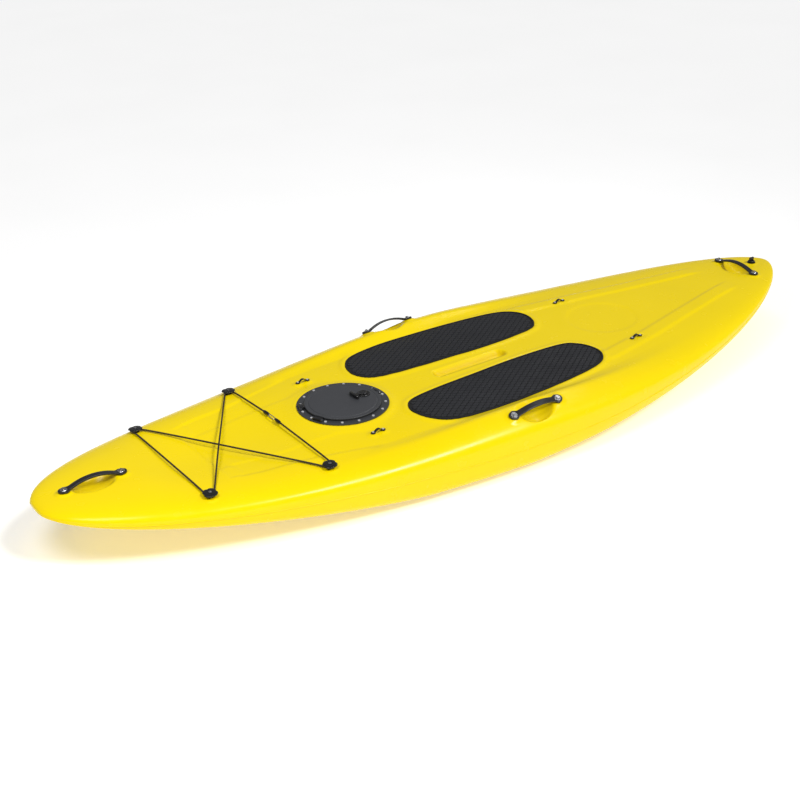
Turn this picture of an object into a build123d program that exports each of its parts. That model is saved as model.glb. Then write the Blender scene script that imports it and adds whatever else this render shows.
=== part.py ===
# A sit-on-top kayak of the board type: a rotomoulded plastic hull with two foam deck pads, a round
# hatch, four strap handles, a bungee over the bow deck, four pad eyes and a drain plug.
# Millimetres. +X points to the bow, +Y to port, +Z up. The origin is on the keel's flat, amidships.
from build123d import *
from math import cos, exp, pi, radians, sin, sqrt, tan
import os

# ---------------------------------------------------------------- hull lines
LENGTH = 3250.0                # bow to stern
BEAM = 1016.0                  # widest place of the hull
WIDEST_AT = -0.131             # station of the widest place, as a share of the half length
BOW_POWER, BOW_ROUNDNESS = 1.72, 0.463         # plan shape from the widest place to the bow
STERN_POWER, STERN_ROUNDNESS = 1.62, 0.612     # and to the stern
RAIL_MID, RAIL_BOW, RAIL_STERN = 99.0, 196.0, 219.0      # height of the widest line of each section
DECK_MID, DECK_BOW, DECK_STERN = 198.5, 235.5, 234.0     # height of the deck on the centreline
DECK_POWER_END, DECK_POWER_MID, DECK_POWER_REACH = 2.9, 5.4, 0.42   # how boxy the deck's crown is
KEEL_POWER_END, KEEL_POWER_MID = 2.2, 5.4      # how boxy the bottom is
TIP_DEPTH_BOW, TIP_DEPTH_STERN = 20.0, 45.0    # rail to keel at the tips
ROCKER_BOW_START, ROCKER_BOW_POWER = 0.276, 1.284        # the keel's rise to the bow
ROCKER_STERN_START, ROCKER_STERN_POWER = 0.03, 1.08      # and to the stern
TIP_CLOSING = 14               # power that rounds off the ends of the deck and the bottom
BOLSTER_HEIGHT, BOLSTER_REACH = 42.0, 0.29     # raised shoulder beside the pads
BOLSTER_FROM, BOLSTER_TO = 0.68, 0.83          # share of the half width where it rises
DISH_DEPTH, DISH_X, DISH_REACH, DISH_HALF_WIDTH = 20.0, 990.0, 250.0, 330.0   # cargo well
KEEL_FLAT_CUT = 1.0            # what the flat takes off the keel
WALL = 5.0                     # moulded wall
CAVITY_BOW, CAVITY_STERN = 0.93, -0.96         # where the hollow ends
STATIONS = 25

# ---------------------------------------------------------------- deck fittings
RUN = 0.05                     # radial clearance of what turns, slides or is screwed in
GAP = 0.3                      # clearance between curved faces that don't fit each other
SEAT_DEPTH = 8.0               # moulded seats under the fittings, down from their flat tops
BOSS_RADIUS, BOSS_DEPTH = 11.0, 23.0           # blind boss round each threaded insert

HANDLE_SPACING = 192.0
HANDLE_WIDTH, HANDLE_THICKNESS, HANDLE_LUG_RADIUS = 20.0, 7.0, 19.0
HANDLE_ARCH_SPAN, HANDLE_ARCH_HEIGHT = 172.0, 27.0
HANDLE_SEAT_RISE = 4.0
BOW_HANDLE_X, STERN_HANDLE_X = 1431.0, -1453.0
SIDE_HANDLE_X, SIDE_HANDLE_Y = 11.0, 442.0
SCOOP_LENGTH, SCOOP_WIDTH, SCOOP_DEPTH = 146.0, 100.0, 27.0
SCOOP_SLOPE = 24.0             # how far the bowl draws in on its way down
SCOOP_ABOVE = 14.0             # the bowl is cut from this far above the handle's seat

SCREW_RADIUS, SCREW_REACH, SCREW_HEAD_RADIUS, SCREW_HEAD_HEIGHT = 3.0, 14.0, 5.5, 4.5
SOCKET_SIZE, SOCKET_DEPTH = 4.0, 2.5
WASHER_RADIUS, WASHER_THICKNESS = 13.0, 2.5
INSERT_RADIUS, INSERT_LENGTH = 6.0, 18.0

BUTTON_PLACES = {"bow_port": (1163, 266), "bow_starboard": (1163, -266),
                 "stern_port": (771, 335), "stern_starboard": (771, -335)}
BUTTON_SEAT_RISE, BUTTON_SEAT_RADIUS, BUTTON_LEAN = 1.5, 20.0, 0.6
BUTTON_RADIUS, BUTTON_CAP, BUTTON_STEM_RADIUS, BUTTON_STEM_HEIGHT = 24.5, 5.5, 8.5, 9.5
BUTTON_RECESS = 3.0            # the screw's head sinks this far into the cap

EYE_PLACES = {"bow_port": (521, 241), "bow_starboard": (521, -241),
              "stern_port": (-671, 221), "stern_starboard": (-671, -221)}
EYE_SPACING, EYE_HEIGHT, EYE_WIDTH, EYE_FOOT_RADIUS, EYE_THICKNESS = 40.0, 13.5, 10.0, 8.5, 4.0
EYE_SEAT_RISE, EYE_SEAT_RADIUS = 2.0, 11.0
EYE_SCREW_RADIUS, EYE_SCREW_HEAD_RADIUS, EYE_SCREW_HEAD_HEIGHT, EYE_SCREW_REACH = 2.0, 3.9, 2.0, 10.0
EYE_INSERT_RADIUS, EYE_INSERT_LENGTH = 4.0, 12.0

GRIP_X, GRIP_LENGTH, GRIP_WIDTH, GRIP_DEPTH, GRIP_SLOPE = -50.0, 325.0, 50.0, 20.0, 9.0

PAD_OUTLINE = [(345, 200), (322, 268), (262, 320), (120, 344), (-100, 341), (-300, 324), (-420, 298),
               (-475, 250), (-487, 190), (-462, 125), (-400, 88), (-200, 76), (0, 84), (180, 94),
               (290, 112), (333, 148)]
PAD_THICKNESS = 5.0

# ---------------------------------------------------------------- hatch
HATCH_X = 504.5
HATCH_SEAT_RISE, HATCH_SEAT_RADIUS, HATCH_SEAT_DEPTH = 2.5, 172.0, 16.0
HATCH_LIP_HEIGHT, HATCH_LIP_WIDTH = 2.5, 9.0
FLANGE_RADIUS, FLANGE_THICKNESS = 161.0, 4.0
COLLAR_RADIUS, COLLAR_BORE, COLLAR_DEPTH = 130.0, 122.0, 34.0
UPSTAND_RADIUS, UPSTAND_HEIGHT = 127.0, 4.0
RING_SCREWS, RING_SCREW_CIRCLE, RING_SCREW_RADIUS, RING_SCREW_REACH = 16, 148.0, 2.5, 10.0
RING_SCREW_HEAD_RADIUS, RING_SCREW_HEAD_HEIGHT = 4.5, 2.6
GASKET_RADIUS, GASKET_THICKNESS = 133.4, 2.8
LID_RADIUS, LID_BOTTOM, LID_TOP, LID_CROWN_RADIUS, LID_CROWN = 134.0, 8.6, 12.0, 118.0, 1.2
LID_SKIRT_GAP = 0.3            # above the gasket
HINGE_REACH, HINGE_HEIGHT, KNUCKLE_RADIUS, HINGE_PIN_RADIUS = 141.0, 10.0, 5.5, 2.5
KNUCKLE_INNER, KNUCKLE_OUTER = 8.0, 20.0       # the lid's knuckles lie between these
LATCH_ANGLES = {"port": 22.5, "starboard": -22.5}
LATCH_REACH, LATCH_HEIGHT, LATCH_BARREL_RADIUS, LATCH_HALF_WIDTH = 150.0, 9.0, 4.2, 15.2
LATCH_NOSE_LOW, LATCH_NOSE_HIGH, LATCH_GRIP_HIGH, LATCH_GRIP_WIDTH = 8.2, 12.5, 16.0, 5.0
LATCH_EAR, LATCH_EAR_HALF, LATCH_EAR_HIGH, LATCH_PIN_RADIUS = 4.0, 5.0, 13.0, 1.5
LOCK_REACH, LOCK_BASE_RADIUS, LOCK_BASE_THICKNESS = 85.0, 24.0, 3.8
LOCK_STEM_RADIUS, LOCK_THREAD_RADIUS, LOCK_HUB_RADIUS = 5.0, 3.0, 15.0
LOCK_ARM_WIDTH, LOCK_ARM_HEIGHT, LOCK_ARM_LENGTH = 14.0, 4.5, 37.0
LOCK_BAR_LENGTH, LOCK_BAR_WIDTH, LOCK_BAR_HEIGHT = 50.0, 10.0, 8.5
CAM_LENGTH, CAM_WIDTH, CAM_THICKNESS = 30.0, 14.0, 4.4
NUT_SIZE, NUT_THICKNESS = 10.0, 3.6

# ---------------------------------------------------------------- drain
DRAIN_X, DRAIN_SEAT_RISE, DRAIN_SEAT_RADIUS = -1545.0, 2.0, 20.0
SOCKET_FLANGE_RADIUS, SOCKET_FLANGE, SOCKET_RADIUS, SOCKET_LENGTH = 17.0, 2.5, 12.0, 22.0
SHANK_RADIUS, SHANK_LENGTH = 8.0, 15.0
SEAL_RADIUS, SEAL_THICKNESS = 12.5, 2.2
PLUG_RADIUS, PLUG_HEAD, WING_LENGTH, WING_THICKNESS, WING_HEIGHT = 14.0, 4.5, 28.0, 6.0, 14.0

# ---------------------------------------------------------------- bungee
CORD_RADIUS = 3.0
CORD_FIT = 0.45                # share of the shorter run that a bend may take up
# From the joiner round the stern starboard, bow port, bow starboard and stern port buttons and back.
CORD_ROUTE = [(751, -122, 207), (758, -284, 207.5), (759, -344.3, 200.1), (776.2, -349.4, 199.4),
              (808.4, -296.4, 205.5), (964, -39, 215.6), (1012, 39, 215.9), (1125.7, 227.4, 210),
              (1157.8, 280.4, 204.3), (1175, 275.3, 204.7), (1175, 220, 211.8), (1175, -220, 211.8),
              (1175, -275.3, 204.7), (1157.8, -280.4, 204.3), (1125.7, -227.4, 209.9),
              (808.4, 296.4, 205.2), (776.2, 349.4, 199.4), (759, 344.3, 200.1), (758, 284, 207.5),
              (751, -8, 207)]
SLEEVE_LENGTH, SLEEVE_RADIUS, SLEEVE_END_RADIUS = 36.0, 6.3, 4.2
LINK_WIDTH, LINK_WIRE = 14.0, 3.0


def ends(u):
    """Closes a height towards the tips."""
    return sqrt(max(1 - abs(u) ** TIP_CLOSING, 0))


def blend(u, middle, bow, stern, power):
    """A height that rises from the middle to each end."""
    end = bow if u > 0 else stern
    return middle + (end - middle) * abs(u) ** power


def station(x):
    """Place along the hull, from -1 at the stern to 1 at the bow, just short of both tips."""
    return x / (LENGTH / 2 + 3)


def half_width(x):
    u = station(x)
    if u > WIDEST_AT:
        s, power, roundness = (u - WIDEST_AT) / (1 - WIDEST_AT), BOW_POWER, BOW_ROUNDNESS
    else:
        s, power, roundness = (WIDEST_AT - u) / (1 + WIDEST_AT), STERN_POWER, STERN_ROUNDNESS
    return BEAM / 2 * (1 - s ** power) ** roundness


def rail_height(x):
    return blend(station(x), RAIL_MID, RAIL_BOW, RAIL_STERN, 2)


def deck_power(u):
    return DECK_POWER_END + (DECK_POWER_MID - DECK_POWER_END) * exp(-(u / DECK_POWER_REACH) ** 2)


def keel_power(u):
    return KEEL_POWER_MID + (KEEL_POWER_END - KEEL_POWER_MID) * abs(u) ** 2


def keel_height(x):
    u = station(x)
    if u > ROCKER_BOW_START:
        share = ((u - ROCKER_BOW_START) / (1 - ROCKER_BOW_START)) ** ROCKER_BOW_POWER
        return (RAIL_BOW - TIP_DEPTH_BOW) * share
    if u < ROCKER_STERN_START:
        share = ((ROCKER_STERN_START - u) / (1 + ROCKER_STERN_START)) ** ROCKER_STERN_POWER
        return (RAIL_STERN - TIP_DEPTH_STERN) * share
    return 0.0


def bolster(u, v):
    """The shoulder that stands up beside the pads."""
    s = min(max((v - BOLSTER_FROM) / (BOLSTER_TO - BOLSTER_FROM), 0), 1)
    return BOLSTER_HEIGHT * exp(-(u / BOLSTER_REACH) ** 2) * s * s * (3 - 2 * s) * (1 - v ** 6)


def dish(x, y):
    """The shallow cargo well of the bow deck."""
    across = max(1 - (y / DISH_HALF_WIDTH) ** 2, 0) ** 2
    return DISH_DEPTH * exp(-((x - DISH_X) / DISH_REACH) ** 4) * across


def deck_height(x, y, inset=0.0):
    """Height of the deck's face; inset moves it in by the wall."""
    u = station(x)
    v = min(abs(y) / (half_width(x) - inset), 1)
    n = deck_power(u)
    crown = (blend(u, DECK_MID, DECK_BOW, DECK_STERN, 2.2) - rail_height(x)) * ends(u) - inset
    return rail_height(x) + crown * (1 - v ** n) ** (1 / n) + bolster(u, v) - dish(x, y)


def bottom_height(x, y, inset=0.0):
    """Height of the bottom's face; inset moves it in by the wall."""
    u = station(x)
    v = min(abs(y) / (half_width(x) - inset), 1)
    n = keel_power(u)
    depth = (rail_height(x) - keel_height(x) + KEEL_FLAT_CUT) * ends(u) - inset
    return rail_height(x) - depth * (1 - v ** n) ** (1 / n)


def side_places(x, power, angles, inset):
    """Distances from the centreline, closer together where the section turns down."""
    half = half_width(x) - inset
    out = [half * sin(radians(a)) ** (2 / power) for a in angles]
    return [-y for y in out] + [0.0] + out[::-1]


def hull_loft(first, last, count, inset):
    """The hull's closed body, through cosine-spaced sections of two curves that meet at the rails."""
    deck_angles = (90, 79, 67, 55, 43, 31, 19, 8, 2)
    keel_angles = (90, 72, 54, 36, 18, 4)
    middle, reach = (first + last) / 2, (last - first) / 2
    with BuildPart() as body:
        for i in range(count):
            x = middle - reach * cos(pi * i / (count - 1))
            u = station(x)
            half, rail = half_width(x) - inset, rail_height(x)
            over = [(y, deck_height(x, y, inset)) for y in side_places(x, deck_power(u), deck_angles, inset)]
            under = [(y, bottom_height(x, y, inset))
                     for y in reversed(side_places(x, keel_power(u), keel_angles, inset))]
            over[0], over[-1] = (-half, rail), (half, rail)
            under[0], under[-1] = (half, rail), (-half, rail)
            with BuildSketch(Plane(origin=(x, 0, 0), x_dir=(0, 1, 0), z_dir=(1, 0, 0))):
                with BuildLine():
                    Spline(*over)
                    Spline(*under)
                make_face()
        loft()
    return body.part


def deck_plane(x, y, rise, lean=1.0):
    """A plane on the deck, lengthwise, lifted by rise; lean is its share of the deck's slope."""
    step = 6.0
    slope_x = lean * (deck_height(x + step, y) - deck_height(x - step, y)) / (2 * step)
    slope_y = lean * (deck_height(x, y + step) - deck_height(x, y - step)) / (2 * step)
    return Plane(origin=(x, y, deck_height(x, y) + rise), x_dir=(1, 0, slope_x), z_dir=(-slope_x, -slope_y, 1))


def handle_plane(x, y, turn):
    """A handle's seat plane, through the deck under its two screws; turn is 0 lengthwise."""
    along, across = Vector(cos(turn), sin(turn), 0), Vector(-sin(turn), cos(turn), 0)
    feet = []
    for side in (-1, 1):
        foot = Vector(x, y, 0) + along * side * HANDLE_SPACING / 2
        feet.append(Vector(foot.X, foot.Y, deck_height(foot.X, foot.Y)))
    step = across * HANDLE_LUG_RADIUS
    rise = sum(deck_height(f.X + step.X, f.Y + step.Y) - deck_height(f.X - step.X, f.Y - step.Y)
               for f in feet) / (4 * HANDLE_LUG_RADIUS)
    direction = (feet[1] - feet[0]).normalized()
    normal = direction.cross(across + Vector(0, 0, rise)).normalized()
    middle = (feet[0] + feet[1]) * 0.5 + normal * HANDLE_SEAT_RISE
    return Plane(origin=middle, x_dir=direction, z_dir=normal)


def shifted(plane, x):
    """The same plane with its origin moved along its own x."""
    return Plane(origin=plane.origin + plane.x_dir * x, x_dir=plane.x_dir, z_dir=plane.z_dir)


HANDLE_PLANES = {"bow_handle": handle_plane(BOW_HANDLE_X, 0, 0),
                 "stern_handle": handle_plane(STERN_HANDLE_X, 0, pi / 2),
                 "port_handle": handle_plane(SIDE_HANDLE_X, SIDE_HANDLE_Y, 0),
                 "starboard_handle": handle_plane(SIDE_HANDLE_X, -SIDE_HANDLE_Y, 0)}
HANDLE_FEET = [shifted(p, s * HANDLE_SPACING / 2) for p in HANDLE_PLANES.values() for s in (-1, 1)]
BUTTON_PLANES = {name: deck_plane(x, y, BUTTON_SEAT_RISE, BUTTON_LEAN) for name, (x, y) in BUTTON_PLACES.items()}
EYE_PLANES = {name: deck_plane(x, y, EYE_SEAT_RISE) for name, (x, y) in EYE_PLACES.items()}
EYE_FEET = [shifted(p, s * EYE_SPACING / 2) for p in EYE_PLANES.values() for s in (-1, 1)]
DRAIN_PLANE = deck_plane(DRAIN_X, 0, DRAIN_SEAT_RISE)
HATCH_PLANE = Plane(origin=(HATCH_X, 0, deck_height(HATCH_X, 0) + HATCH_SEAT_RISE))


def post(planes, radius, low, high):
    """A round post at each plane, from low to high along the plane's normal."""
    with BuildPart() as posts:
        with Locations(*[p.offset((low + high) / 2) for p in planes]):
            Cylinder(radius, high - low)
    return posts.part


def scoop(plane, grow):
    """The oval bowl under a handle; grow adds the wall that stands round it."""
    with BuildPart() as bowl:
        with BuildSketch(plane.offset(SCOOP_ABOVE)):
            Ellipse(SCOOP_LENGTH / 2 + grow, SCOOP_WIDTH / 2 + grow)
        with BuildSketch(plane):
            Ellipse(SCOOP_LENGTH / 2 + grow, SCOOP_WIDTH / 2 + grow)
        with BuildSketch(plane.offset(-SCOOP_DEPTH - grow)):
            Ellipse(SCOOP_LENGTH / 2 - SCOOP_SLOPE + grow, SCOOP_WIDTH / 2 - SCOOP_SLOPE + grow)
        loft(ruled=True)
    return bowl.part


def grip_slot(grow):
    """The long hand hold between the pads; grow adds the wall round it."""
    top = deck_height(GRIP_X, 0)
    with BuildPart() as slot:
        with BuildSketch(Plane.XY.offset(top + GRIP_SLOPE)):
            with Locations((GRIP_X, 0)):
                SlotOverall(GRIP_LENGTH + 2 * grow, GRIP_WIDTH + 2 * grow)
        with BuildSketch(Plane.XY.offset(top - GRIP_DEPTH - grow)):
            with Locations((GRIP_X, 0)):
                SlotOverall(GRIP_LENGTH - 2 * GRIP_SLOPE + 2 * grow, GRIP_WIDTH - 2 * GRIP_SLOPE + 2 * grow)
        loft(ruled=True)
    return slot.part


# ---------------------------------------------------------------- hull
hull_body = hull_loft(-LENGTH / 2, LENGTH / 2, STATIONS, 0.0)

with BuildPart() as cavity:
    add(hull_loft(CAVITY_STERN * LENGTH / 2, CAVITY_BOW * LENGTH / 2, STATIONS - 4, WALL))
    for plane in HANDLE_PLANES.values():
        add(scoop(plane, WALL), mode=Mode.SUBTRACT)
    add(grip_slot(WALL), mode=Mode.SUBTRACT)
    add(post(HANDLE_FEET + list(BUTTON_PLANES.values()) + EYE_FEET, BOSS_RADIUS, -BOSS_DEPTH, 0),
        mode=Mode.SUBTRACT)
    add(post([HATCH_PLANE], HATCH_SEAT_RADIUS, -HATCH_SEAT_DEPTH, 0), mode=Mode.SUBTRACT)
    add(post([HATCH_PLANE], COLLAR_RADIUS + GAP, -HATCH_SEAT_DEPTH - 1, 1))

with BuildPart() as hull:
    add(hull_body)
    add(cavity.part, mode=Mode.SUBTRACT)
    add(post([HATCH_PLANE], HATCH_SEAT_RADIUS, -SEAT_DEPTH, HATCH_LIP_HEIGHT))
    add(post(HANDLE_FEET, HANDLE_LUG_RADIUS + GAP, -SEAT_DEPTH, 0))
    add(post(BUTTON_PLANES.values(), BUTTON_SEAT_RADIUS, -SEAT_DEPTH, 0))
    add(post(EYE_FEET, EYE_SEAT_RADIUS, -SEAT_DEPTH / 2, 0))
    add(post([DRAIN_PLANE], DRAIN_SEAT_RADIUS, -SEAT_DEPTH, 0))
    add(post([HATCH_PLANE], HATCH_SEAT_RADIUS - HATCH_LIP_WIDTH, 0, HATCH_LIP_HEIGHT + 1), mode=Mode.SUBTRACT)
    add(post([HATCH_PLANE], COLLAR_RADIUS + GAP, -COLLAR_DEPTH, 1), mode=Mode.SUBTRACT)
    for plane in HANDLE_PLANES.values():
        add(scoop(plane, 0), mode=Mode.SUBTRACT)
    add(grip_slot(0), mode=Mode.SUBTRACT)
    add(post(HANDLE_FEET + list(BUTTON_PLANES.values()), INSERT_RADIUS + RUN, -INSERT_LENGTH, 1), mode=Mode.SUBTRACT)
    add(post(EYE_FEET, EYE_INSERT_RADIUS + RUN, -EYE_INSERT_LENGTH, 1), mode=Mode.SUBTRACT)
    add(post([DRAIN_PLANE], SOCKET_RADIUS + RUN, -SOCKET_LENGTH - WALL, 1), mode=Mode.SUBTRACT)
    with Locations(HATCH_PLANE.offset(-RING_SCREW_REACH / 2)):
        with PolarLocations(RING_SCREW_CIRCLE, RING_SCREWS, start_angle=180 / RING_SCREWS):
            Cylinder(RING_SCREW_RADIUS + RUN, RING_SCREW_REACH + 1, mode=Mode.SUBTRACT)
    split(bisect_by=Plane.XY, keep=Keep.TOP)

PARTS = {"hull": hull.part}


# ---------------------------------------------------------------- screws, inserts and washers
def screw_set(planes, radius, reach, seat, head_radius, head_height, socket):
    """One screw at each plane: a shank down into the hull and a head that sits at seat."""
    with BuildPart() as screws:
        with Locations(*planes):
            with Locations((0, 0, (seat - reach) / 2)):
                Cylinder(radius, seat + reach)
            with Locations((0, 0, seat + head_height / 2)):
                Cylinder(head_radius, head_height)
            with Locations((0, 0, seat + head_height - socket * SOCKET_DEPTH / SOCKET_SIZE / 2)):
                Cylinder(socket / 2, socket * SOCKET_DEPTH / SOCKET_SIZE, mode=Mode.SUBTRACT)
    return screws.part


def insert_set(planes, radius, length, bore):
    """Threaded inserts, moulded in just under the seat."""
    with BuildPart() as inserts:
        with Locations(*[p.offset(-length / 2) for p in planes]):
            Cylinder(radius, length - GAP)
            Cylinder(bore, length, mode=Mode.SUBTRACT)
    return inserts.part


PARTS["handle_screws"] = screw_set(HANDLE_FEET, SCREW_RADIUS, SCREW_REACH, HANDLE_THICKNESS + WASHER_THICKNESS,
                                   SCREW_HEAD_RADIUS, SCREW_HEAD_HEIGHT, SOCKET_SIZE)
PARTS["handle_inserts"] = insert_set(HANDLE_FEET, INSERT_RADIUS, INSERT_LENGTH, SCREW_RADIUS + RUN)
PARTS["button_screws"] = screw_set(list(BUTTON_PLANES.values()), SCREW_RADIUS, SCREW_REACH,
                                   BUTTON_STEM_HEIGHT + BUTTON_CAP - BUTTON_RECESS,
                                   SCREW_HEAD_RADIUS, SCREW_HEAD_HEIGHT, SOCKET_SIZE)
PARTS["button_inserts"] = insert_set(list(BUTTON_PLANES.values()), INSERT_RADIUS, INSERT_LENGTH, SCREW_RADIUS + RUN)
PARTS["eye_screws"] = screw_set(EYE_FEET, EYE_SCREW_RADIUS, EYE_SCREW_REACH, EYE_THICKNESS,
                                EYE_SCREW_HEAD_RADIUS, EYE_SCREW_HEAD_HEIGHT, EYE_SCREW_RADIUS)
PARTS["eye_inserts"] = insert_set(EYE_FEET, EYE_INSERT_RADIUS, EYE_INSERT_LENGTH, EYE_SCREW_RADIUS + RUN)

with BuildPart() as handle_washers:
    with Locations(*[p.offset(HANDLE_THICKNESS + WASHER_THICKNESS / 2) for p in HANDLE_FEET]):
        Cylinder(WASHER_RADIUS, WASHER_THICKNESS)
        Cylinder(SCREW_RADIUS + GAP, WASHER_THICKNESS, mode=Mode.SUBTRACT)
PARTS["handle_washers"] = handle_washers.part


# ---------------------------------------------------------------- strap handles and pad eyes
def arched_strap(plane, spacing, span, height, width, thickness, foot_radius, bore):
    """A moulded strap with two round feet and an arch between them."""
    upright = Plane(origin=plane.origin, x_dir=plane.x_dir, z_dir=plane.x_dir.cross(plane.z_dir))
    with BuildPart() as strap:
        with BuildSketch(upright):
            with BuildLine():
                inner = ThreePointArc((-span / 2 + thickness * 2, 0), (0, height - thickness),
                                      (span / 2 - thickness * 2, 0))
                outer = ThreePointArc((-span / 2, 0), (0, height), (span / 2, 0))
                Line(inner @ 0, outer @ 0)
                Line(inner @ 1, outer @ 1)
            make_face()
        extrude(amount=width / 2, both=True)
        with Locations(shifted(plane, -spacing / 2).offset(thickness / 2),
                       shifted(plane, spacing / 2).offset(thickness / 2)):
            Cylinder(foot_radius, thickness)
        with Locations(shifted(plane, -spacing / 2), shifted(plane, spacing / 2)):
            Cylinder(bore, 4 * thickness, mode=Mode.SUBTRACT)
    return strap.part


for name, plane in HANDLE_PLANES.items():
    PARTS[name] = arched_strap(plane, HANDLE_SPACING, HANDLE_ARCH_SPAN, HANDLE_ARCH_HEIGHT, HANDLE_WIDTH,
                               HANDLE_THICKNESS, HANDLE_LUG_RADIUS, SCREW_RADIUS + GAP)
for name, plane in EYE_PLANES.items():
    PARTS["pad_eye_" + name] = arched_strap(plane, EYE_SPACING, EYE_SPACING - EYE_FOOT_RADIUS, EYE_HEIGHT, EYE_WIDTH,
                                            EYE_THICKNESS, EYE_FOOT_RADIUS, EYE_SCREW_RADIUS + GAP)

# ---------------------------------------------------------------- bungee buttons
for name, plane in BUTTON_PLANES.items():
    with BuildPart() as button:
        with Locations(plane.offset(BUTTON_STEM_HEIGHT / 2)):
            Cylinder(BUTTON_STEM_RADIUS, BUTTON_STEM_HEIGHT)
        with Locations(plane.offset(BUTTON_STEM_HEIGHT + BUTTON_CAP / 2)):
            Cylinder(BUTTON_RADIUS, BUTTON_CAP)
        fillet(button.edges().filter_by(GeomType.CIRCLE).group_by(lambda e: e.radius)[-1], BUTTON_CAP / 3)
        with Locations(plane.offset(BUTTON_STEM_HEIGHT / 2)):
            Cylinder(SCREW_RADIUS + GAP, BUTTON_STEM_HEIGHT + 4 * BUTTON_CAP, mode=Mode.SUBTRACT)
        with Locations(plane.offset(BUTTON_STEM_HEIGHT + BUTTON_CAP - BUTTON_RECESS / 2)):
            Cylinder(SCREW_HEAD_RADIUS + GAP, BUTTON_RECESS, mode=Mode.SUBTRACT)
    PARTS["bungee_button_" + name] = button.part

# ---------------------------------------------------------------- deck pads
for side, name in ((1, "pad_port"), (-1, "pad_starboard")):
    with BuildPart() as pad:
        with BuildSketch(Plane.XY.offset(DECK_MID - BOLSTER_HEIGHT)):
            with BuildLine():
                Spline(*[(x, side * y) for x, y in PAD_OUTLINE], periodic=True)
            make_face()
        extrude(amount=2 * BOLSTER_HEIGHT)
        add(hull_body.moved(Location((0, 0, PAD_THICKNESS + GAP))), mode=Mode.INTERSECT)
        add(hull_body.moved(Location((0, 0, GAP))), mode=Mode.SUBTRACT)
    PARTS[name] = pad.part


# ---------------------------------------------------------------- hatch
def hatch_level(height):
    return HATCH_PLANE.offset(height)


def radial_plane(angle):
    """Through the hatch's axis: x runs outwards at the angle, y runs up."""
    a = radians(angle)
    return Plane(origin=HATCH_PLANE.origin, x_dir=(cos(a), sin(a), 0), z_dir=(sin(a), -cos(a), 0))


with BuildPart() as hatch_ring:
    with BuildSketch(hatch_level(0)):
        Circle(FLANGE_RADIUS)
        Circle(COLLAR_BORE, mode=Mode.SUBTRACT)
        with PolarLocations(RING_SCREW_CIRCLE, RING_SCREWS, start_angle=180 / RING_SCREWS):
            Circle(RING_SCREW_RADIUS + GAP, mode=Mode.SUBTRACT)
    extrude(amount=FLANGE_THICKNESS)
    with BuildSketch(hatch_level(-COLLAR_DEPTH)):
        Circle(COLLAR_RADIUS)
        Circle(COLLAR_BORE, mode=Mode.SUBTRACT)
    extrude(amount=COLLAR_DEPTH)
    with BuildSketch(hatch_level(FLANGE_THICKNESS)):
        Circle(UPSTAND_RADIUS)
        Circle(COLLAR_BORE, mode=Mode.SUBTRACT)
    extrude(amount=UPSTAND_HEIGHT)
    with BuildSketch(radial_plane(180)):
        with Locations((HINGE_REACH, HINGE_HEIGHT)):
            Circle(KNUCKLE_RADIUS)
        with Locations((HINGE_REACH, HINGE_HEIGHT / 2)):
            Rectangle(2 * KNUCKLE_RADIUS, HINGE_HEIGHT - 1)
        with Locations((HINGE_REACH, HINGE_HEIGHT)):
            Circle(HINGE_PIN_RADIUS + RUN, mode=Mode.SUBTRACT)
    extrude(amount=KNUCKLE_INNER - GAP, both=True)
    for angle in LATCH_ANGLES.values():
        for side in (-1, 1):
            ear = radial_plane(angle).offset(side * (LATCH_HALF_WIDTH + GAP + LATCH_EAR / 2))
            with BuildSketch(ear):
                with Locations((LATCH_REACH, LATCH_EAR_HIGH / 2)):
                    Rectangle(2 * LATCH_EAR_HALF, LATCH_EAR_HIGH - 1)
                with Locations((LATCH_REACH, LATCH_HEIGHT)):
                    Circle(LATCH_PIN_RADIUS + RUN, mode=Mode.SUBTRACT)
            extrude(amount=LATCH_EAR / 2, both=True)
PARTS["hatch_ring"] = hatch_ring.part

RING_SCREW_PLANES = [shifted(Plane(origin=HATCH_PLANE.origin, x_dir=(cos(a), sin(a), 0), z_dir=(0, 0, 1)),
                             RING_SCREW_CIRCLE)
                     for a in [2 * pi * (i + 0.5) / RING_SCREWS for i in range(RING_SCREWS)]]
PARTS["hatch_ring_screws"] = screw_set(RING_SCREW_PLANES, RING_SCREW_RADIUS, RING_SCREW_REACH, FLANGE_THICKNESS,
                                       RING_SCREW_HEAD_RADIUS, RING_SCREW_HEAD_HEIGHT, RING_SCREW_RADIUS)

with BuildPart() as hatch_gasket:
    with BuildSketch(hatch_level(FLANGE_THICKNESS)):
        Circle(GASKET_RADIUS)
        Circle(UPSTAND_RADIUS + GAP, mode=Mode.SUBTRACT)
    extrude(amount=GASKET_THICKNESS)
PARTS["hatch_gasket"] = hatch_gasket.part

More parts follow.
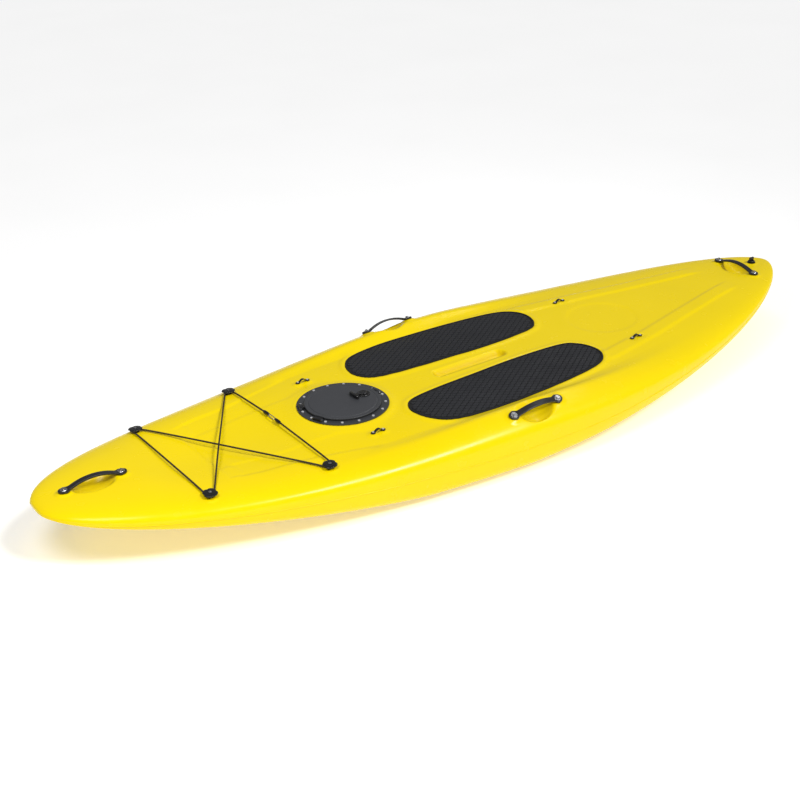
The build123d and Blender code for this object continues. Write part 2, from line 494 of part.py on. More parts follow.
with BuildPart() as hatch_lid:
    with BuildSketch(hatch_level(LID_BOTTOM)):
        Circle(LID_RADIUS)
    extrude(amount=LID_TOP - LID_BOTTOM)
    with BuildSketch(hatch_level(FLANGE_THICKNESS + GASKET_THICKNESS + LID_SKIRT_GAP)):
        Circle(LID_RADIUS)
        Circle(UPSTAND_RADIUS + GAP, mode=Mode.SUBTRACT)
    extrude(until=Until.NEXT)
    with BuildSketch(hatch_level(LID_TOP)):
        Circle(LID_CROWN_RADIUS)
    extrude(amount=LID_CROWN)
    for side in (-1, 1):
        knuckle = radial_plane(180).offset(side * (KNUCKLE_INNER + KNUCKLE_OUTER) / 2)
        with BuildSketch(knuckle):
            with Locations((HINGE_REACH, HINGE_HEIGHT)):
                Circle(KNUCKLE_RADIUS)
            with Locations(((HINGE_REACH + LID_CROWN_RADIUS) / 2, (LID_BOTTOM + LID_TOP) / 2)):
                Rectangle(HINGE_REACH - LID_CROWN_RADIUS, LID_TOP - LID_BOTTOM)
            with Locations((HINGE_REACH, HINGE_HEIGHT)):
                Circle(HINGE_PIN_RADIUS + RUN, mode=Mode.SUBTRACT)
        extrude(amount=(KNUCKLE_OUTER - KNUCKLE_INNER) / 2, both=True)
    with Locations(shifted(hatch_level(LID_BOTTOM), -LOCK_REACH)):
        Cylinder(LOCK_STEM_RADIUS + RUN, 4 * LID_TOP, mode=Mode.SUBTRACT)
PARTS["hatch_lid"] = hatch_lid.part

with BuildPart() as hatch_hinge_pin:
    with BuildSketch(radial_plane(180)):
        with Locations((HINGE_REACH, HINGE_HEIGHT)):
            Circle(HINGE_PIN_RADIUS)
    extrude(amount=KNUCKLE_OUTER, both=True)
PARTS["hatch_hinge_pin"] = hatch_hinge_pin.part

for side, angle in LATCH_ANGLES.items():
    with BuildPart() as latch:
        with BuildSketch(radial_plane(angle)):
            nose = LID_RADIUS + GAP
            with Locations((LATCH_REACH, LATCH_HEIGHT)):
                Circle(LATCH_BARREL_RADIUS)
            with Locations(((nose + LATCH_REACH) / 2, (LATCH_NOSE_LOW + LATCH_NOSE_HIGH) / 2)):
                Rectangle(LATCH_REACH - nose, LATCH_NOSE_HIGH - LATCH_NOSE_LOW)
            with Locations((nose + LATCH_GRIP_WIDTH / 2, (LATCH_NOSE_LOW + LATCH_GRIP_HIGH) / 2)):
                Rectangle(LATCH_GRIP_WIDTH, LATCH_GRIP_HIGH - LATCH_NOSE_LOW)
            with Locations((LATCH_REACH, LATCH_HEIGHT)):
                Circle(LATCH_PIN_RADIUS + RUN, mode=Mode.SUBTRACT)
        extrude(amount=LATCH_HALF_WIDTH, both=True)
    PARTS["hatch_latch_" + side] = latch.part

with BuildPart() as latch_pins:
    for angle in LATCH_ANGLES.values():
        with BuildSketch(radial_plane(angle)):
            with Locations((LATCH_REACH, LATCH_HEIGHT)):
                Circle(LATCH_PIN_RADIUS)
        extrude(amount=LATCH_HALF_WIDTH + GAP + LATCH_EAR, both=True)
PARTS["latch_pins"] = latch_pins.part

# ---------------------------------------------------------------- lid lock
LOCK_PLANE = shifted(hatch_level(LID_TOP + LID_CROWN), -LOCK_REACH)
LEVER_LEVEL = LOCK_BASE_THICKNESS + GAP
CAM_TOP = LID_BOTTOM - LID_TOP - LID_CROWN - GAP

with BuildPart() as lid_lock_base:
    with BuildSketch(LOCK_PLANE):
        Circle(LOCK_BASE_RADIUS)
        Circle(LOCK_STEM_RADIUS + RUN, mode=Mode.SUBTRACT)
    extrude(amount=LOCK_BASE_THICKNESS)
    chamfer(lid_lock_base.edges().group_by(Axis.Z)[-1].sort_by(SortBy.RADIUS)[-1], 1)
PARTS["lid_lock_base"] = lid_lock_base.part

with BuildPart() as lid_lock_lever:
    with BuildSketch(LOCK_PLANE.offset(LEVER_LEVEL)):
        Circle(LOCK_HUB_RADIUS)
        with Locations((LOCK_ARM_LENGTH / 2, 0)):
            Rectangle(LOCK_ARM_LENGTH, LOCK_ARM_WIDTH)
    extrude(amount=LOCK_ARM_HEIGHT)
    with BuildSketch(LOCK_PLANE.offset(GAP)):
        with Locations((LOCK_ARM_LENGTH, 0)):
            SlotOverall(LOCK_BAR_LENGTH, LOCK_BAR_WIDTH, rotation=90)
    extrude(amount=LEVER_LEVEL + LOCK_BAR_HEIGHT)
    with BuildSketch(LOCK_PLANE.offset(CAM_TOP - CAM_THICKNESS)):
        Circle(LOCK_STEM_RADIUS)
    extrude(amount=LEVER_LEVEL - CAM_TOP + CAM_THICKNESS)
    with BuildSketch(LOCK_PLANE.offset(CAM_TOP - CAM_THICKNESS - NUT_THICKNESS)):
        Circle(LOCK_THREAD_RADIUS)
    extrude(amount=NUT_THICKNESS)
PARTS["lid_lock_lever"] = lid_lock_lever.part

with BuildPart() as lid_lock_cam:
    with BuildSketch(LOCK_PLANE.offset(CAM_TOP - CAM_THICKNESS)):
        with Locations((-CAM_LENGTH / 2 + CAM_WIDTH / 2, 0)):
            SlotOverall(CAM_LENGTH, CAM_WIDTH)
        Circle(LOCK_STEM_RADIUS + RUN, mode=Mode.SUBTRACT)
    extrude(amount=CAM_THICKNESS)
PARTS["lid_lock_cam"] = lid_lock_cam.part

with BuildPart() as lid_lock_nut:
    with BuildSketch(LOCK_PLANE.offset(CAM_TOP - CAM_THICKNESS - NUT_THICKNESS)):
        RegularPolygon(NUT_SIZE / 2, 6, major_radius=False)
        Circle(LOCK_THREAD_RADIUS + RUN, mode=Mode.SUBTRACT)
    extrude(amount=NUT_THICKNESS)
PARTS["lid_lock_nut"] = lid_lock_nut.part

# ---------------------------------------------------------------- drain plug
with BuildPart() as drain_socket:
    with BuildSketch(DRAIN_PLANE):
        Circle(SOCKET_FLANGE_RADIUS)
    extrude(amount=SOCKET_FLANGE)
    with BuildSketch(DRAIN_PLANE.offset(-SOCKET_LENGTH)):
        Circle(SOCKET_RADIUS)
    extrude(amount=SOCKET_LENGTH)
    with Locations(DRAIN_PLANE):
        Cylinder(SHANK_RADIUS + RUN, 3 * SOCKET_LENGTH, mode=Mode.SUBTRACT)
PARTS["drain_socket"] = drain_socket.part

with BuildPart() as drain_plug_seal:
    with BuildSketch(DRAIN_PLANE.offset(SOCKET_FLANGE + GAP)):
        Circle(SEAL_RADIUS)
        Circle(SHANK_RADIUS + GAP, mode=Mode.SUBTRACT)
    extrude(amount=SEAL_THICKNESS)
PARTS["drain_plug_seal"] = drain_plug_seal.part

PLUG_LEVEL = SOCKET_FLANGE + SEAL_THICKNESS + 2 * GAP
with BuildPart() as drain_plug:
    with BuildSketch(DRAIN_PLANE.offset(PLUG_LEVEL)):
        Circle(PLUG_RADIUS)
    extrude(amount=PLUG_HEAD)
    with BuildSketch(DRAIN_PLANE.offset(-SHANK_LENGTH)):
        Circle(SHANK_RADIUS)
    extrude(amount=SHANK_LENGTH + PLUG_LEVEL)
    with BuildSketch(Plane(origin=DRAIN_PLANE.origin, x_dir=DRAIN_PLANE.x_dir,
                           z_dir=DRAIN_PLANE.x_dir.cross(DRAIN_PLANE.z_dir))):
        with BuildLine():
            foot, top = PLUG_LEVEL + PLUG_HEAD - 1, PLUG_LEVEL + PLUG_HEAD + WING_HEIGHT
            Polyline((-WING_LENGTH / 2.6, foot), (-WING_LENGTH / 2, top - 5), (-WING_LENGTH / 2 + 4, top),
                     (WING_LENGTH / 2 - 4, top), (WING_LENGTH / 2, top - 5), (WING_LENGTH / 2.6, foot),
                     close=True)
        make_face()
    extrude(amount=WING_THICKNESS / 2, both=True)
PARTS["drain_plug"] = drain_plug.part

# ---------------------------------------------------------------- bungee cord and its joiner
def bend_radii(route):
    """The largest arc that each corner's two runs leave room for."""
    radii = []
    for before, corner, after in zip(route, route[1:], route[2:]):
        run_in, run_out = Vector(*corner) - Vector(*before), Vector(*after) - Vector(*corner)
        turn = radians(run_in.get_angle(run_out))
        radii.append(CORD_FIT * min(run_in.length, run_out.length) / tan(turn / 2))
    return radii


radii = bend_radii(CORD_ROUTE)
with BuildPart() as bungee_cord:
    with BuildLine() as cord_path:
        FilletPolyline(*CORD_ROUTE, radius=radii)
    cord_wire = cord_path.wires()[0]
    with BuildSketch(Plane(origin=cord_wire @ 0, z_dir=cord_wire % 0)):
        Circle(CORD_RADIUS)
    sweep(path=cord_wire)
PARTS["bungee_cord"] = bungee_cord.part
print("cord length", round(cord_wire.length, 1), "radii", [round(r, 1) for r in radii])
print("cord volume over section times length", bungee_cord.part.volume / (pi * CORD_RADIUS ** 2 * cord_wire.length))

JOINER_ENDS = {"bungee_sleeve_port": cord_wire @ 1, "bungee_sleeve_starboard": cord_wire @ 0}
for name, outer_end in JOINER_ENDS.items():
    inward = cord_wire % 1 if name == "bungee_sleeve_port" else (cord_wire % 0) * -1
    along = Plane(origin=outer_end, x_dir=inward, z_dir=inward.cross(Vector(1, 0, 0)))
    with BuildPart() as sleeve:
        with BuildSketch(along):
            with BuildLine():
                ThreePointArc((0, SLEEVE_END_RADIUS), (SLEEVE_LENGTH / 2, SLEEVE_RADIUS),
                              (SLEEVE_LENGTH, SLEEVE_END_RADIUS))
                Polyline((SLEEVE_LENGTH, SLEEVE_END_RADIUS), (SLEEVE_LENGTH, 0), (0, 0), (0, SLEEVE_END_RADIUS))
            make_face()
        revolve(axis=Axis(along.origin, along.x_dir))
    PARTS[name] = sleeve.part
    JOINER_ENDS[name] = outer_end + inward * SLEEVE_LENGTH

port_eye, starboard_eye = JOINER_ENDS["bungee_sleeve_port"], JOINER_ENDS["bungee_sleeve_starboard"]
with BuildPart() as bungee_link:
    with BuildSketch(Plane(origin=(port_eye + starboard_eye) * 0.5, x_dir=port_eye - starboard_eye, z_dir=(0, 0, 1))):
        link_length = (port_eye - starboard_eye).length
        SlotOverall(link_length, LINK_WIDTH)
        SlotOverall(link_length - 2 * LINK_WIRE, LINK_WIDTH - 2 * LINK_WIRE, mode=Mode.SUBTRACT)
    extrude(amount=LINK_WIRE / 2, both=True)
PARTS["bungee_link"] = bungee_link.part

os.makedirs("parts", exist_ok=True)
for name, shape in PARTS.items():
    shape.label = name
    export_step(shape, f"parts/{name}.step")
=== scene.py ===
# %% [markdown]
# # A board-type sit-on-top kayak
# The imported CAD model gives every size, place and joint. This lesson dresses it: a smooth moulded hull,
# cut foam pads, rubber straps, a shock cord and the small fittings, all in metres and in the CAD's frame.

import bmesh
import bpy
import numpy as np
from mathutils import Matrix, Vector


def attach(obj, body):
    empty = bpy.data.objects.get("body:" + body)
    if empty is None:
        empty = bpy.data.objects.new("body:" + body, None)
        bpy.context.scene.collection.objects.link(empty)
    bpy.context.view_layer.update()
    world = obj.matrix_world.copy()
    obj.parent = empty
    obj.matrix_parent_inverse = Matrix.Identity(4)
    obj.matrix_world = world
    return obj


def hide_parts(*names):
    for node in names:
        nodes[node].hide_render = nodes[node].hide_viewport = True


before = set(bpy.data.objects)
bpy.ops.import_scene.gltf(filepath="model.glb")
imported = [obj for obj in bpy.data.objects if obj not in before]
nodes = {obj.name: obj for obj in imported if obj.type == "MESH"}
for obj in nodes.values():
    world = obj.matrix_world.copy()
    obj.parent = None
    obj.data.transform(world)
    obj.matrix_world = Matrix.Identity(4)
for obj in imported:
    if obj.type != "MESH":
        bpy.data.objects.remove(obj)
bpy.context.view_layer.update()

# %% [markdown]
# ## The hull's lines
# A rotomoulded hull is one smooth skin, so it is worked out as a function of the place along the hull and
# across it. The same few sizes drive the CAD model, so the skin and the fittings agree.

# %% Sizes of the hull, in metres
LENGTH, BEAM = 3.25, 1.016
HALF_SPAN = LENGTH / 2 + 0.003
WIDEST_AT = -0.131
BOW_POWER, BOW_ROUNDNESS = 1.72, 0.463
STERN_POWER, STERN_ROUNDNESS = 1.62, 0.612
RAIL_MID, RAIL_BOW, RAIL_STERN = 0.099, 0.196, 0.219
DECK_MID, DECK_BOW, DECK_STERN = 0.1985, 0.2355, 0.234
DECK_POWER_END, DECK_POWER_MID, DECK_POWER_REACH = 2.9, 5.4, 0.42
KEEL_POWER_END, KEEL_POWER_MID = 2.2, 5.4
TIP_DEPTH_BOW, TIP_DEPTH_STERN = 0.02, 0.045
ROCKER_BOW_START, ROCKER_BOW_POWER = 0.276, 1.284
ROCKER_STERN_START, ROCKER_STERN_POWER = 0.03, 1.08
TIP_CLOSING = 14
BOLSTER_HEIGHT, BOLSTER_REACH, BOLSTER_FROM, BOLSTER_TO = 0.042, 0.29, 0.68, 0.83
DISH_DEPTH, DISH_X, DISH_REACH, DISH_HALF_WIDTH = 0.02, 0.99, 0.25, 0.33
WALL = 0.005


# %% The hull as functions of x and y
def soft_step(t):
    """Rises from 0 to 1 as t does, flat at both ends: t squared times 3 minus 2t."""
    t = np.clip(t, 0, 1)
    return t * t * (3 - 2 * t)


def blend(u, middle, bow, stern, power):
    """A height that rises from the middle to each end as a power of the distance."""
    return middle + (np.where(u > 0, bow, stern) - middle) * np.abs(u) ** power


def half_width(x):
    """Half the beam: (1 - s^p)^m, with s the share of the way from the widest place to a tip."""
    u = x / HALF_SPAN
    to_bow = np.clip((u - WIDEST_AT) / (1 - WIDEST_AT), 0, 1)
    to_stern = np.clip((WIDEST_AT - u) / (1 + WIDEST_AT), 0, 1)
    bow = (1 - to_bow ** BOW_POWER) ** BOW_ROUNDNESS
    return BEAM / 2 * np.where(u > WIDEST_AT, bow, (1 - to_stern ** STERN_POWER) ** STERN_ROUNDNESS)


def rail_height(x):
    return blend(x / HALF_SPAN, RAIL_MID, RAIL_BOW, RAIL_STERN, 2)


def deck_power(u):
    return DECK_POWER_END + (DECK_POWER_MID - DECK_POWER_END) * np.exp(-(u / DECK_POWER_REACH) ** 2)


def keel_power(u):
    return KEEL_POWER_MID + (KEEL_POWER_END - KEEL_POWER_MID) * u ** 2


def tip_closing(u):
    return np.sqrt(np.clip(1 - np.abs(u) ** TIP_CLOSING, 0, 1))


def keel_height(x):
    """The rocker: flat amidships, rising as a power of the distance towards both tips."""
    u = x / HALF_SPAN
    bow = np.clip((u - ROCKER_BOW_START) / (1 - ROCKER_BOW_START), 0, 1) ** ROCKER_BOW_POWER
    stern = np.clip((ROCKER_STERN_START - u) / (1 + ROCKER_STERN_START), 0, 1) ** ROCKER_STERN_POWER
    return (RAIL_BOW - TIP_DEPTH_BOW) * bow + (RAIL_STERN - TIP_DEPTH_STERN) * stern


def deck_height(x, y, inset=0.0):
    """A superellipse from rail to rail, plus the shoulders beside the pads, less the cargo well's dish."""
    u = x / HALF_SPAN
    v = np.clip(np.abs(y) / (half_width(x) - inset), 0, 1)
    n = deck_power(u)
    crown = (blend(u, DECK_MID, DECK_BOW, DECK_STERN, 2.2) - rail_height(x)) * tip_closing(u) - inset
    shoulder = soft_step((v - BOLSTER_FROM) / (BOLSTER_TO - BOLSTER_FROM)) * (1 - v ** 6)
    across = np.clip(1 - (y / DISH_HALF_WIDTH) ** 2, 0, 1) ** 2
    dish = DISH_DEPTH * np.exp(-((x - DISH_X) / DISH_REACH) ** 4) * across
    return (rail_height(x) + crown * (1 - v ** n) ** (1 / n)
            + BOLSTER_HEIGHT * np.exp(-(u / BOLSTER_REACH) ** 2) * shoulder - dish)


def bottom_height(x, y, inset=0.0):
    """The superellipse below the rails, never lower than the keel's flat."""
    u = x / HALF_SPAN
    v = np.clip(np.abs(y) / (half_width(x) - inset), 0, 1)
    n = keel_power(u)
    depth = (rail_height(x) - keel_height(x)) * tip_closing(u) - inset
    return np.maximum(rail_height(x) - depth * (1 - v ** n) ** (1 / n), 0)


beam = round(float(half_width(WIDEST_AT * HALF_SPAN)) * 2, 3)
print("deck amidships", round(float(deck_height(0.0, 0.0)), 4), "beam", beam)

# %% [markdown]
# ## Planes for the fittings
# Each fitting sits on a small moulded seat, level with a plane through the deck. A plane here is an origin
# and three directions, found from the deck's slope just as the CAD model finds them.

# %% Planes on the deck
BOW_HANDLE_X, STERN_HANDLE_X, SIDE_HANDLE_X, SIDE_HANDLE_Y = 1.431, -1.453, 0.011, 0.442
HANDLE_SPACING, LUG_RADIUS, HANDLE_SEAT_RISE = 0.192, 0.019, 0.004
BUTTON_PLACES = {"bow_port": (1.163, 0.266), "bow_starboard": (1.163, -0.266),
                 "stern_port": (0.771, 0.335), "stern_starboard": (0.771, -0.335)}
EYE_PLACES = {"bow_port": (0.521, 0.241), "bow_starboard": (0.521, -0.241),
              "stern_port": (-0.671, 0.221), "stern_starboard": (-0.671, -0.221)}
HATCH_X, HATCH_RISE = 0.5045, 0.0025
DRAIN_X, DRAIN_RISE = -1.545, 0.002
SLOPE_STEP = 0.006


def unit(v):
    return np.asarray(v, float) / np.linalg.norm(v)


class Seat:
    """A plane: points on it are origin + a * along + b * across + c * normal."""

    def __init__(self, origin, along=(1, 0, 0), normal=(0, 0, 1)):
        self.origin, self.normal = np.asarray(origin, float), unit(normal)
        self.along = unit(np.asarray(along, float) - self.normal * np.dot(along, self.normal))
        self.across = np.cross(self.normal, self.along)

    def at(self, a, b, c):
        a, b, c = np.broadcast_arrays(a, b, c)
        return (self.origin + a[..., None] * self.along + b[..., None] * self.across
                + c[..., None] * self.normal)

    def local(self, p):
        d = p - self.origin
        return d @ self.along, d @ self.across, d @ self.normal

    def shifted(self, a, c=0.0):
        return Seat(self.at(a, 0.0, c), self.along, self.normal)


def deck_seat(x, y, rise, lean=1.0):
    """On the deck at x, y, lifted by rise; lean is its share of the deck's slope."""
    s = SLOPE_STEP
    slope_x = lean * (deck_height(x + s, y) - deck_height(x - s, y)) / (2 * s)
    slope_y = lean * (deck_height(x, y + s) - deck_height(x, y - s)) / (2 * s)
    return Seat((x, y, deck_height(x, y) + rise), (1, 0, slope_x), (-slope_x, -slope_y, 1))


def handle_seat(x, y, turned):
    """Through the deck under both of a handle's screws; turned puts the handle across the hull."""
    lengthways, sideways = np.eye(3)[:2]
    along, across = (sideways, -lengthways) if turned else (lengthways, sideways)
    feet = [np.array([x, y, 0]) + along * side * HANDLE_SPACING / 2 for side in (-1, 1)]
    for foot in feet:
        foot[2] = deck_height(foot[0], foot[1])
    reach = across * LUG_RADIUS
    rise = sum(deck_height(*(f + reach)[:2]) - deck_height(*(f - reach)[:2]) for f in feet) / (4 * LUG_RADIUS)
    direction = unit(feet[1] - feet[0])
    normal = unit(np.cross(direction, across + np.array([0, 0, rise])))
    return Seat((feet[0] + feet[1]) / 2 + normal * HANDLE_SEAT_RISE, direction, normal)


handle_seats = {"bow_handle": handle_seat(BOW_HANDLE_X, 0, False),
                "stern_handle": handle_seat(STERN_HANDLE_X, 0, True),
                "port_handle": handle_seat(SIDE_HANDLE_X, SIDE_HANDLE_Y, False),
                "starboard_handle": handle_seat(SIDE_HANDLE_X, -SIDE_HANDLE_Y, False)}
button_seats = {name: deck_seat(x, y, 0.0015, 0.6) for name, (x, y) in BUTTON_PLACES.items()}
eye_seats = {name: deck_seat(x, y, 0.002) for name, (x, y) in EYE_PLACES.items()}
hatch_seat = Seat((HATCH_X, 0, deck_height(HATCH_X, 0.0) + HATCH_RISE))
drain_seat = deck_seat(DRAIN_X, 0.0, DRAIN_RISE)

# %% [markdown]
# ## Surfaces from grids
# Every new piece is a grid of points worked out with numpy. A grid becomes quads, its poles and seams are
# merged, and its faces are turned outwards.


# %% From a grid of points to a mesh
def add_object(name, data):
    """A new object, linked into the scene."""
    thing = bpy.data.objects.new(name, data)
    bpy.context.scene.collection.objects.link(thing)
    return thing


def add_surface(name, points, close_u=False, close_v=False, keep=None, sharp=None):
    """points is an array (rows, columns, 3); neighbours in the grid become quads. keep masks the quads."""
    rows, columns = points.shape[:2]
    index = np.arange(rows * columns).reshape(rows, columns)
    if close_u:
        index = np.vstack([index, index[:1]])
    if close_v:
        index = np.hstack([index, index[:, :1]])
    quads = np.stack([index[:-1, :-1], index[1:, :-1], index[1:, 1:], index[:-1, 1:]], -1)
    quads = quads.reshape(-1, 4) if keep is None else quads[keep]
    return finish_mesh(name, points.reshape(-1, 3), quads, sharp)


def finish_mesh(name, vertices, quads, sharp=None, merge=1e-6):
    """Builds the mesh, merges doubles, drops faces with no area and turns the rest outwards."""
    mesh = bpy.data.meshes.new(name)
    mesh.vertices.add(len(vertices))
    mesh.vertices.foreach_set("co", np.float32(vertices).ravel())
    mesh.loops.add(quads.size)
    mesh.loops.foreach_set("vertex_index", np.int32(quads).ravel())
    mesh.polygons.add(len(quads))
    mesh.polygons.foreach_set("loop_start", np.arange(len(quads), dtype=np.int32) * 4)
    mesh.update(calc_edges=True)
    shape = bmesh.new()
    shape.from_mesh(mesh)
    bmesh.ops.remove_doubles(shape, verts=shape.verts, dist=merge)
    bmesh.ops.dissolve_degenerate(shape, edges=shape.edges, dist=merge)
    loose = [v for v in shape.verts if not v.link_faces]
    bmesh.ops.delete(shape, geom=loose, context="VERTS")
    bmesh.ops.recalc_face_normals(shape, faces=shape.faces)
    shape.to_mesh(mesh)
    shape.free()
    mesh.polygons.foreach_set("use_smooth", np.ones(len(mesh.polygons), bool))
    if sharp is not None:
        mesh.set_sharp_from_angle(angle=np.radians(sharp))
    return add_object(name, mesh)


def add_piece(name, points, looks, *replaced, **surface):
    """A surface that is placed at once; looks holds its body, its slot and its material."""
    return place(add_surface(name, points, **surface), *looks, *replaced)


def nylon(body):
    """The looks of a black fitting that moves with this body."""
    return body, "fitting_plastic", black_nylon


def place(piece, body, slot_name, material, *replaced):
    """Gives a finished piece its material, its body and the CAD nodes that it stands for; slot_name is not
    used.
    """
    piece.data.materials.append(material)
    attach(piece, body)
    if replaced:
        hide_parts(*replaced)
    return piece


def round_steps(steps):
    """Even angles of a full turn."""
    return np.linspace(0, 2 * np.pi, steps, endpoint=False)


def squarish(angle, power):
    """A rounded square in the unit square: the two shares b and c with |b|^power + |c|^power = 1."""
    return [np.sign(w) * np.abs(w) ** (2 / power) for w in (np.cos(angle), np.sin(angle))]


def turned(seat, profile, steps=64, notch=0.0, beyond=1.0):
    """(radius, height) pairs carried round a seat's normal; four notches are cut in past a radius."""
    angle = round_steps(steps)[:, None]
    radius, height = np.array(profile).T
    radius = radius - notch * (0.5 + 0.5 * np.cos(4 * angle)) ** 6 * (radius > beyond)
    return seat.at(radius * np.cos(angle), radius * np.sin(angle), height)


def rounded(corners, radius=0.001, steps=4):
    """An open profile with each inner corner cut by a small arc, as points between two quarter marks."""
    corners = [np.array(c, float) for c in corners]
    out = [corners[0]]
    for before, corner, after in zip(corners, corners[1:], corners[2:]):
        reach = min(radius, np.linalg.norm(before - corner) * 0.45, np.linalg.norm(after - corner) * 0.45)
        start, end = corner + unit(before - corner) * reach, corner + unit(after - corner) * reach
        t = np.linspace(0, 1, steps)[:, None]
        out.extend((1 - t) ** 2 * start + 2 * t * (1 - t) * corner + t ** 2 * end)
    return [tuple(p) for p in out + [corners[-1]]]


# %% [markdown]
# ## Materials
# Moulded plastic, foam, rubber, steel and braid differ mostly in roughness and in the size of their grain.
# Each material reads Object coordinates, so its grain has a real scale in metres. The hull's yellow is also
# mixed towards amber on the walls of the scoops and the hand hold: painted shade for the dimmer light in
# them.


# %% A helper for materials
def start_material(name, color, roughness, **sockets):
    """A Principled material; sockets are further constant values by their socket names."""
    material = bpy.data.materials.new(name)
    material.use_nodes = True
    shader = material.node_tree.nodes["Principled BSDF"]
    shader.inputs["Base Color"].default_value = (*color, 1)
    shader.inputs["Roughness"].default_value = roughness
    for key, value in sockets.items():
        shader.inputs[key.replace("_", " ")].default_value = value
    return material, material.node_tree, shader


def noise(tree, scale, detail=3.0, stretch=(1, 1, 1)):
    """A noise texture on Object coordinates, stretched along an axis where the finish has a direction."""
    place_node = tree.nodes.new("ShaderNodeTexCoord")
    mapping = tree.nodes.new("ShaderNodeMapping")
    mapping.inputs["Scale"].default_value = stretch
    texture = tree.nodes.new("ShaderNodeTexNoise")
    texture.inputs["Scale"].default_value = scale
    texture.inputs["Detail"].default_value = detail
    tree.links.new(place_node.outputs["Object"], mapping.inputs["Vector"])
    tree.links.new(mapping.outputs["Vector"], texture.inputs["Vector"])
    return texture.outputs["Fac"]


def ramp(tree, source, low, high, start=0.3, end=0.7):
    """Maps a texture to a range of grey or of colour."""
    node = tree.nodes.new("ShaderNodeValToRGB")
    node.color_ramp.elements[0].position, node.color_ramp.elements[1].position = start, end
    for element, value in zip(node.color_ramp.elements, (low, high)):
        element.color = (*value, 1) if np.ndim(value) else (value, value, value, 1)
    tree.links.new(source, node.inputs["Fac"])
    return node.outputs["Color"]


def bump(tree, shader, height, strength, distance):
    node = tree.nodes.new("ShaderNodeBump")
    node.inputs["Strength"].default_value = strength
    node.inputs["Distance"].default_value = distance
    tree.links.new(height, node.inputs["Height"])
    tree.links.new(node.outputs["Normal"], shader.inputs["Normal"])


def grained(name, color, spread, roughness, grain, depth, rough_spread=0.05, **sockets):
    """A moulded finish: a slow drift in colour, a fine grain, and patches that are a little duller."""
    material, tree, shader = start_material(name, color, roughness, **sockets)
    darker = tuple(c * (1 - spread) for c in color)
    tree.links.new(ramp(tree, noise(tree, 3.0), darker, color), shader.inputs["Base Color"])
    dull = ramp(tree, noise(tree, 14.0), roughness - rough_spread, roughness + rough_spread)
    tree.links.new(dull, shader.inputs["Roughness"])
    bump(tree, shader, noise(tree, grain, 4.0), 0.5, depth)
    return material


def tint_by_attribute(material, attribute, tint):
    """Mixes the finish towards a tint, by a share that each point of a mesh holds as an attribute."""
    tree = material.node_tree
    base = tree.nodes["Principled BSDF"].inputs["Base Color"]
    plain = base.links[0].from_socket
    share = tree.nodes.new("ShaderNodeAttribute")
    share.attribute_name = attribute
    mix = tree.nodes.new("ShaderNodeMix")
    mix.data_type, mix.blend_type = "RGBA", "MIX"
    tree.links.new(share.outputs["Fac"], mix.inputs["Factor"])
    tree.links.new(plain, mix.inputs[6])
    mix.inputs[7].default_value = (*tint, 1)
    tree.links.new(mix.outputs[2], base)


# %% The finishes
hull_yellow = grained("hull_yellow", (0.93, 0.7, 0.0), 0.035, 0.24, 420.0, 0.00016,
                      Specular_IOR_Level=0.22)
# Painted shade: the hull's yellow is mixed towards this amber by a share per point, in the scoops and the
# hand hold.
tint_by_attribute(hull_yellow, "painted_shade", (0.5, 0.29, 0.0))
lid_slate = grained("lid_slate", (0.046, 0.048, 0.054), 0.12, 0.42, 1500.0, 0.0002)
ring_slate = grained("ring_slate", (0.038, 0.04, 0.045), 0.1, 0.38, 1500.0, 0.0002)
black_nylon = grained("black_nylon", (0.01, 0.01, 0.011), 0.15, 0.24, 1200.0, 0.0001)
strap_rubber = grained("strap_rubber", (0.012, 0.012, 0.014), 0.2, 0.4, 900.0, 0.0003)
seal_rubber = grained("seal_rubber", (0.012, 0.012, 0.012), 0.15, 0.55, 800.0, 0.0002)
brass = grained("brass", (0.62, 0.43, 0.16), 0.1, 0.3, 700.0, 0.0001, Metallic=1.0)
foam_base = grained("foam_base", (0.006, 0.006, 0.007), 0.15, 0.92, 1400.0, 0.0006)
foam_top = grained("foam_top", (0.013, 0.014, 0.018), 0.25, 0.72, 1100.0, 0.0008, 0.1)
steel, steel_tree, steel_shader = start_material("steel", (0.5, 0.5, 0.52), 0.26, Metallic=1.0)
steel_tree.links.new(ramp(steel_tree, noise(steel_tree, 260.0, 2.0, (1, 9, 1)), 0.17, 0.34),
                     steel_shader.inputs["Roughness"])
satin_steel = grained("satin_steel", (0.8, 0.8, 0.82), 0.08, 0.42, 500.0, 0.00005, Metallic=0.55)
braid, braid_tree, braid_shader = start_material("braid", (0.03, 0.022, 0.012), 0.65)
braid_tree.links.new(ramp(braid_tree, noise(braid_tree, 700.0, 1.0), (0.01, 0.008, 0.006),
                          (0.085, 0.055, 0.022), 0.45, 0.72), braid_shader.inputs["Base Color"])
bump(braid_tree, braid_shader, noise(braid_tree, 900.0, 1.0), 0.8, 0.0006)
node_finishes = [
    (ring_slate, ["hatch_ring"]), (seal_rubber, ["hatch_gasket", "drain_plug_seal"]),
    (satin_steel, ["hatch_ring_screws", "eye_screws"]), (black_nylon, ["lid_lock_cam", "drain_socket"]),
    (steel, ["hatch_hinge_pin", "latch_pins", "lid_lock_nut", "handle_screws", "button_screws"]),
    (brass, ["handle_inserts", "button_inserts", "eye_inserts"])]
for finish, names in node_finishes:
    for material_slot in [each for name in names for each in nodes[name].material_slots]:
        material_slot.material = finish
print("finishes", len(bpy.data.materials))

# %% [markdown]
# ## The camera and the light
# The camera looks down on the port bow. A broad soft sun stands for a big studio lamp, a long strip lamp
# draws the highlight along the deck, and a round lamp lifts the bow. A pale floor that glows a little and a
# white surround fill the shadows.

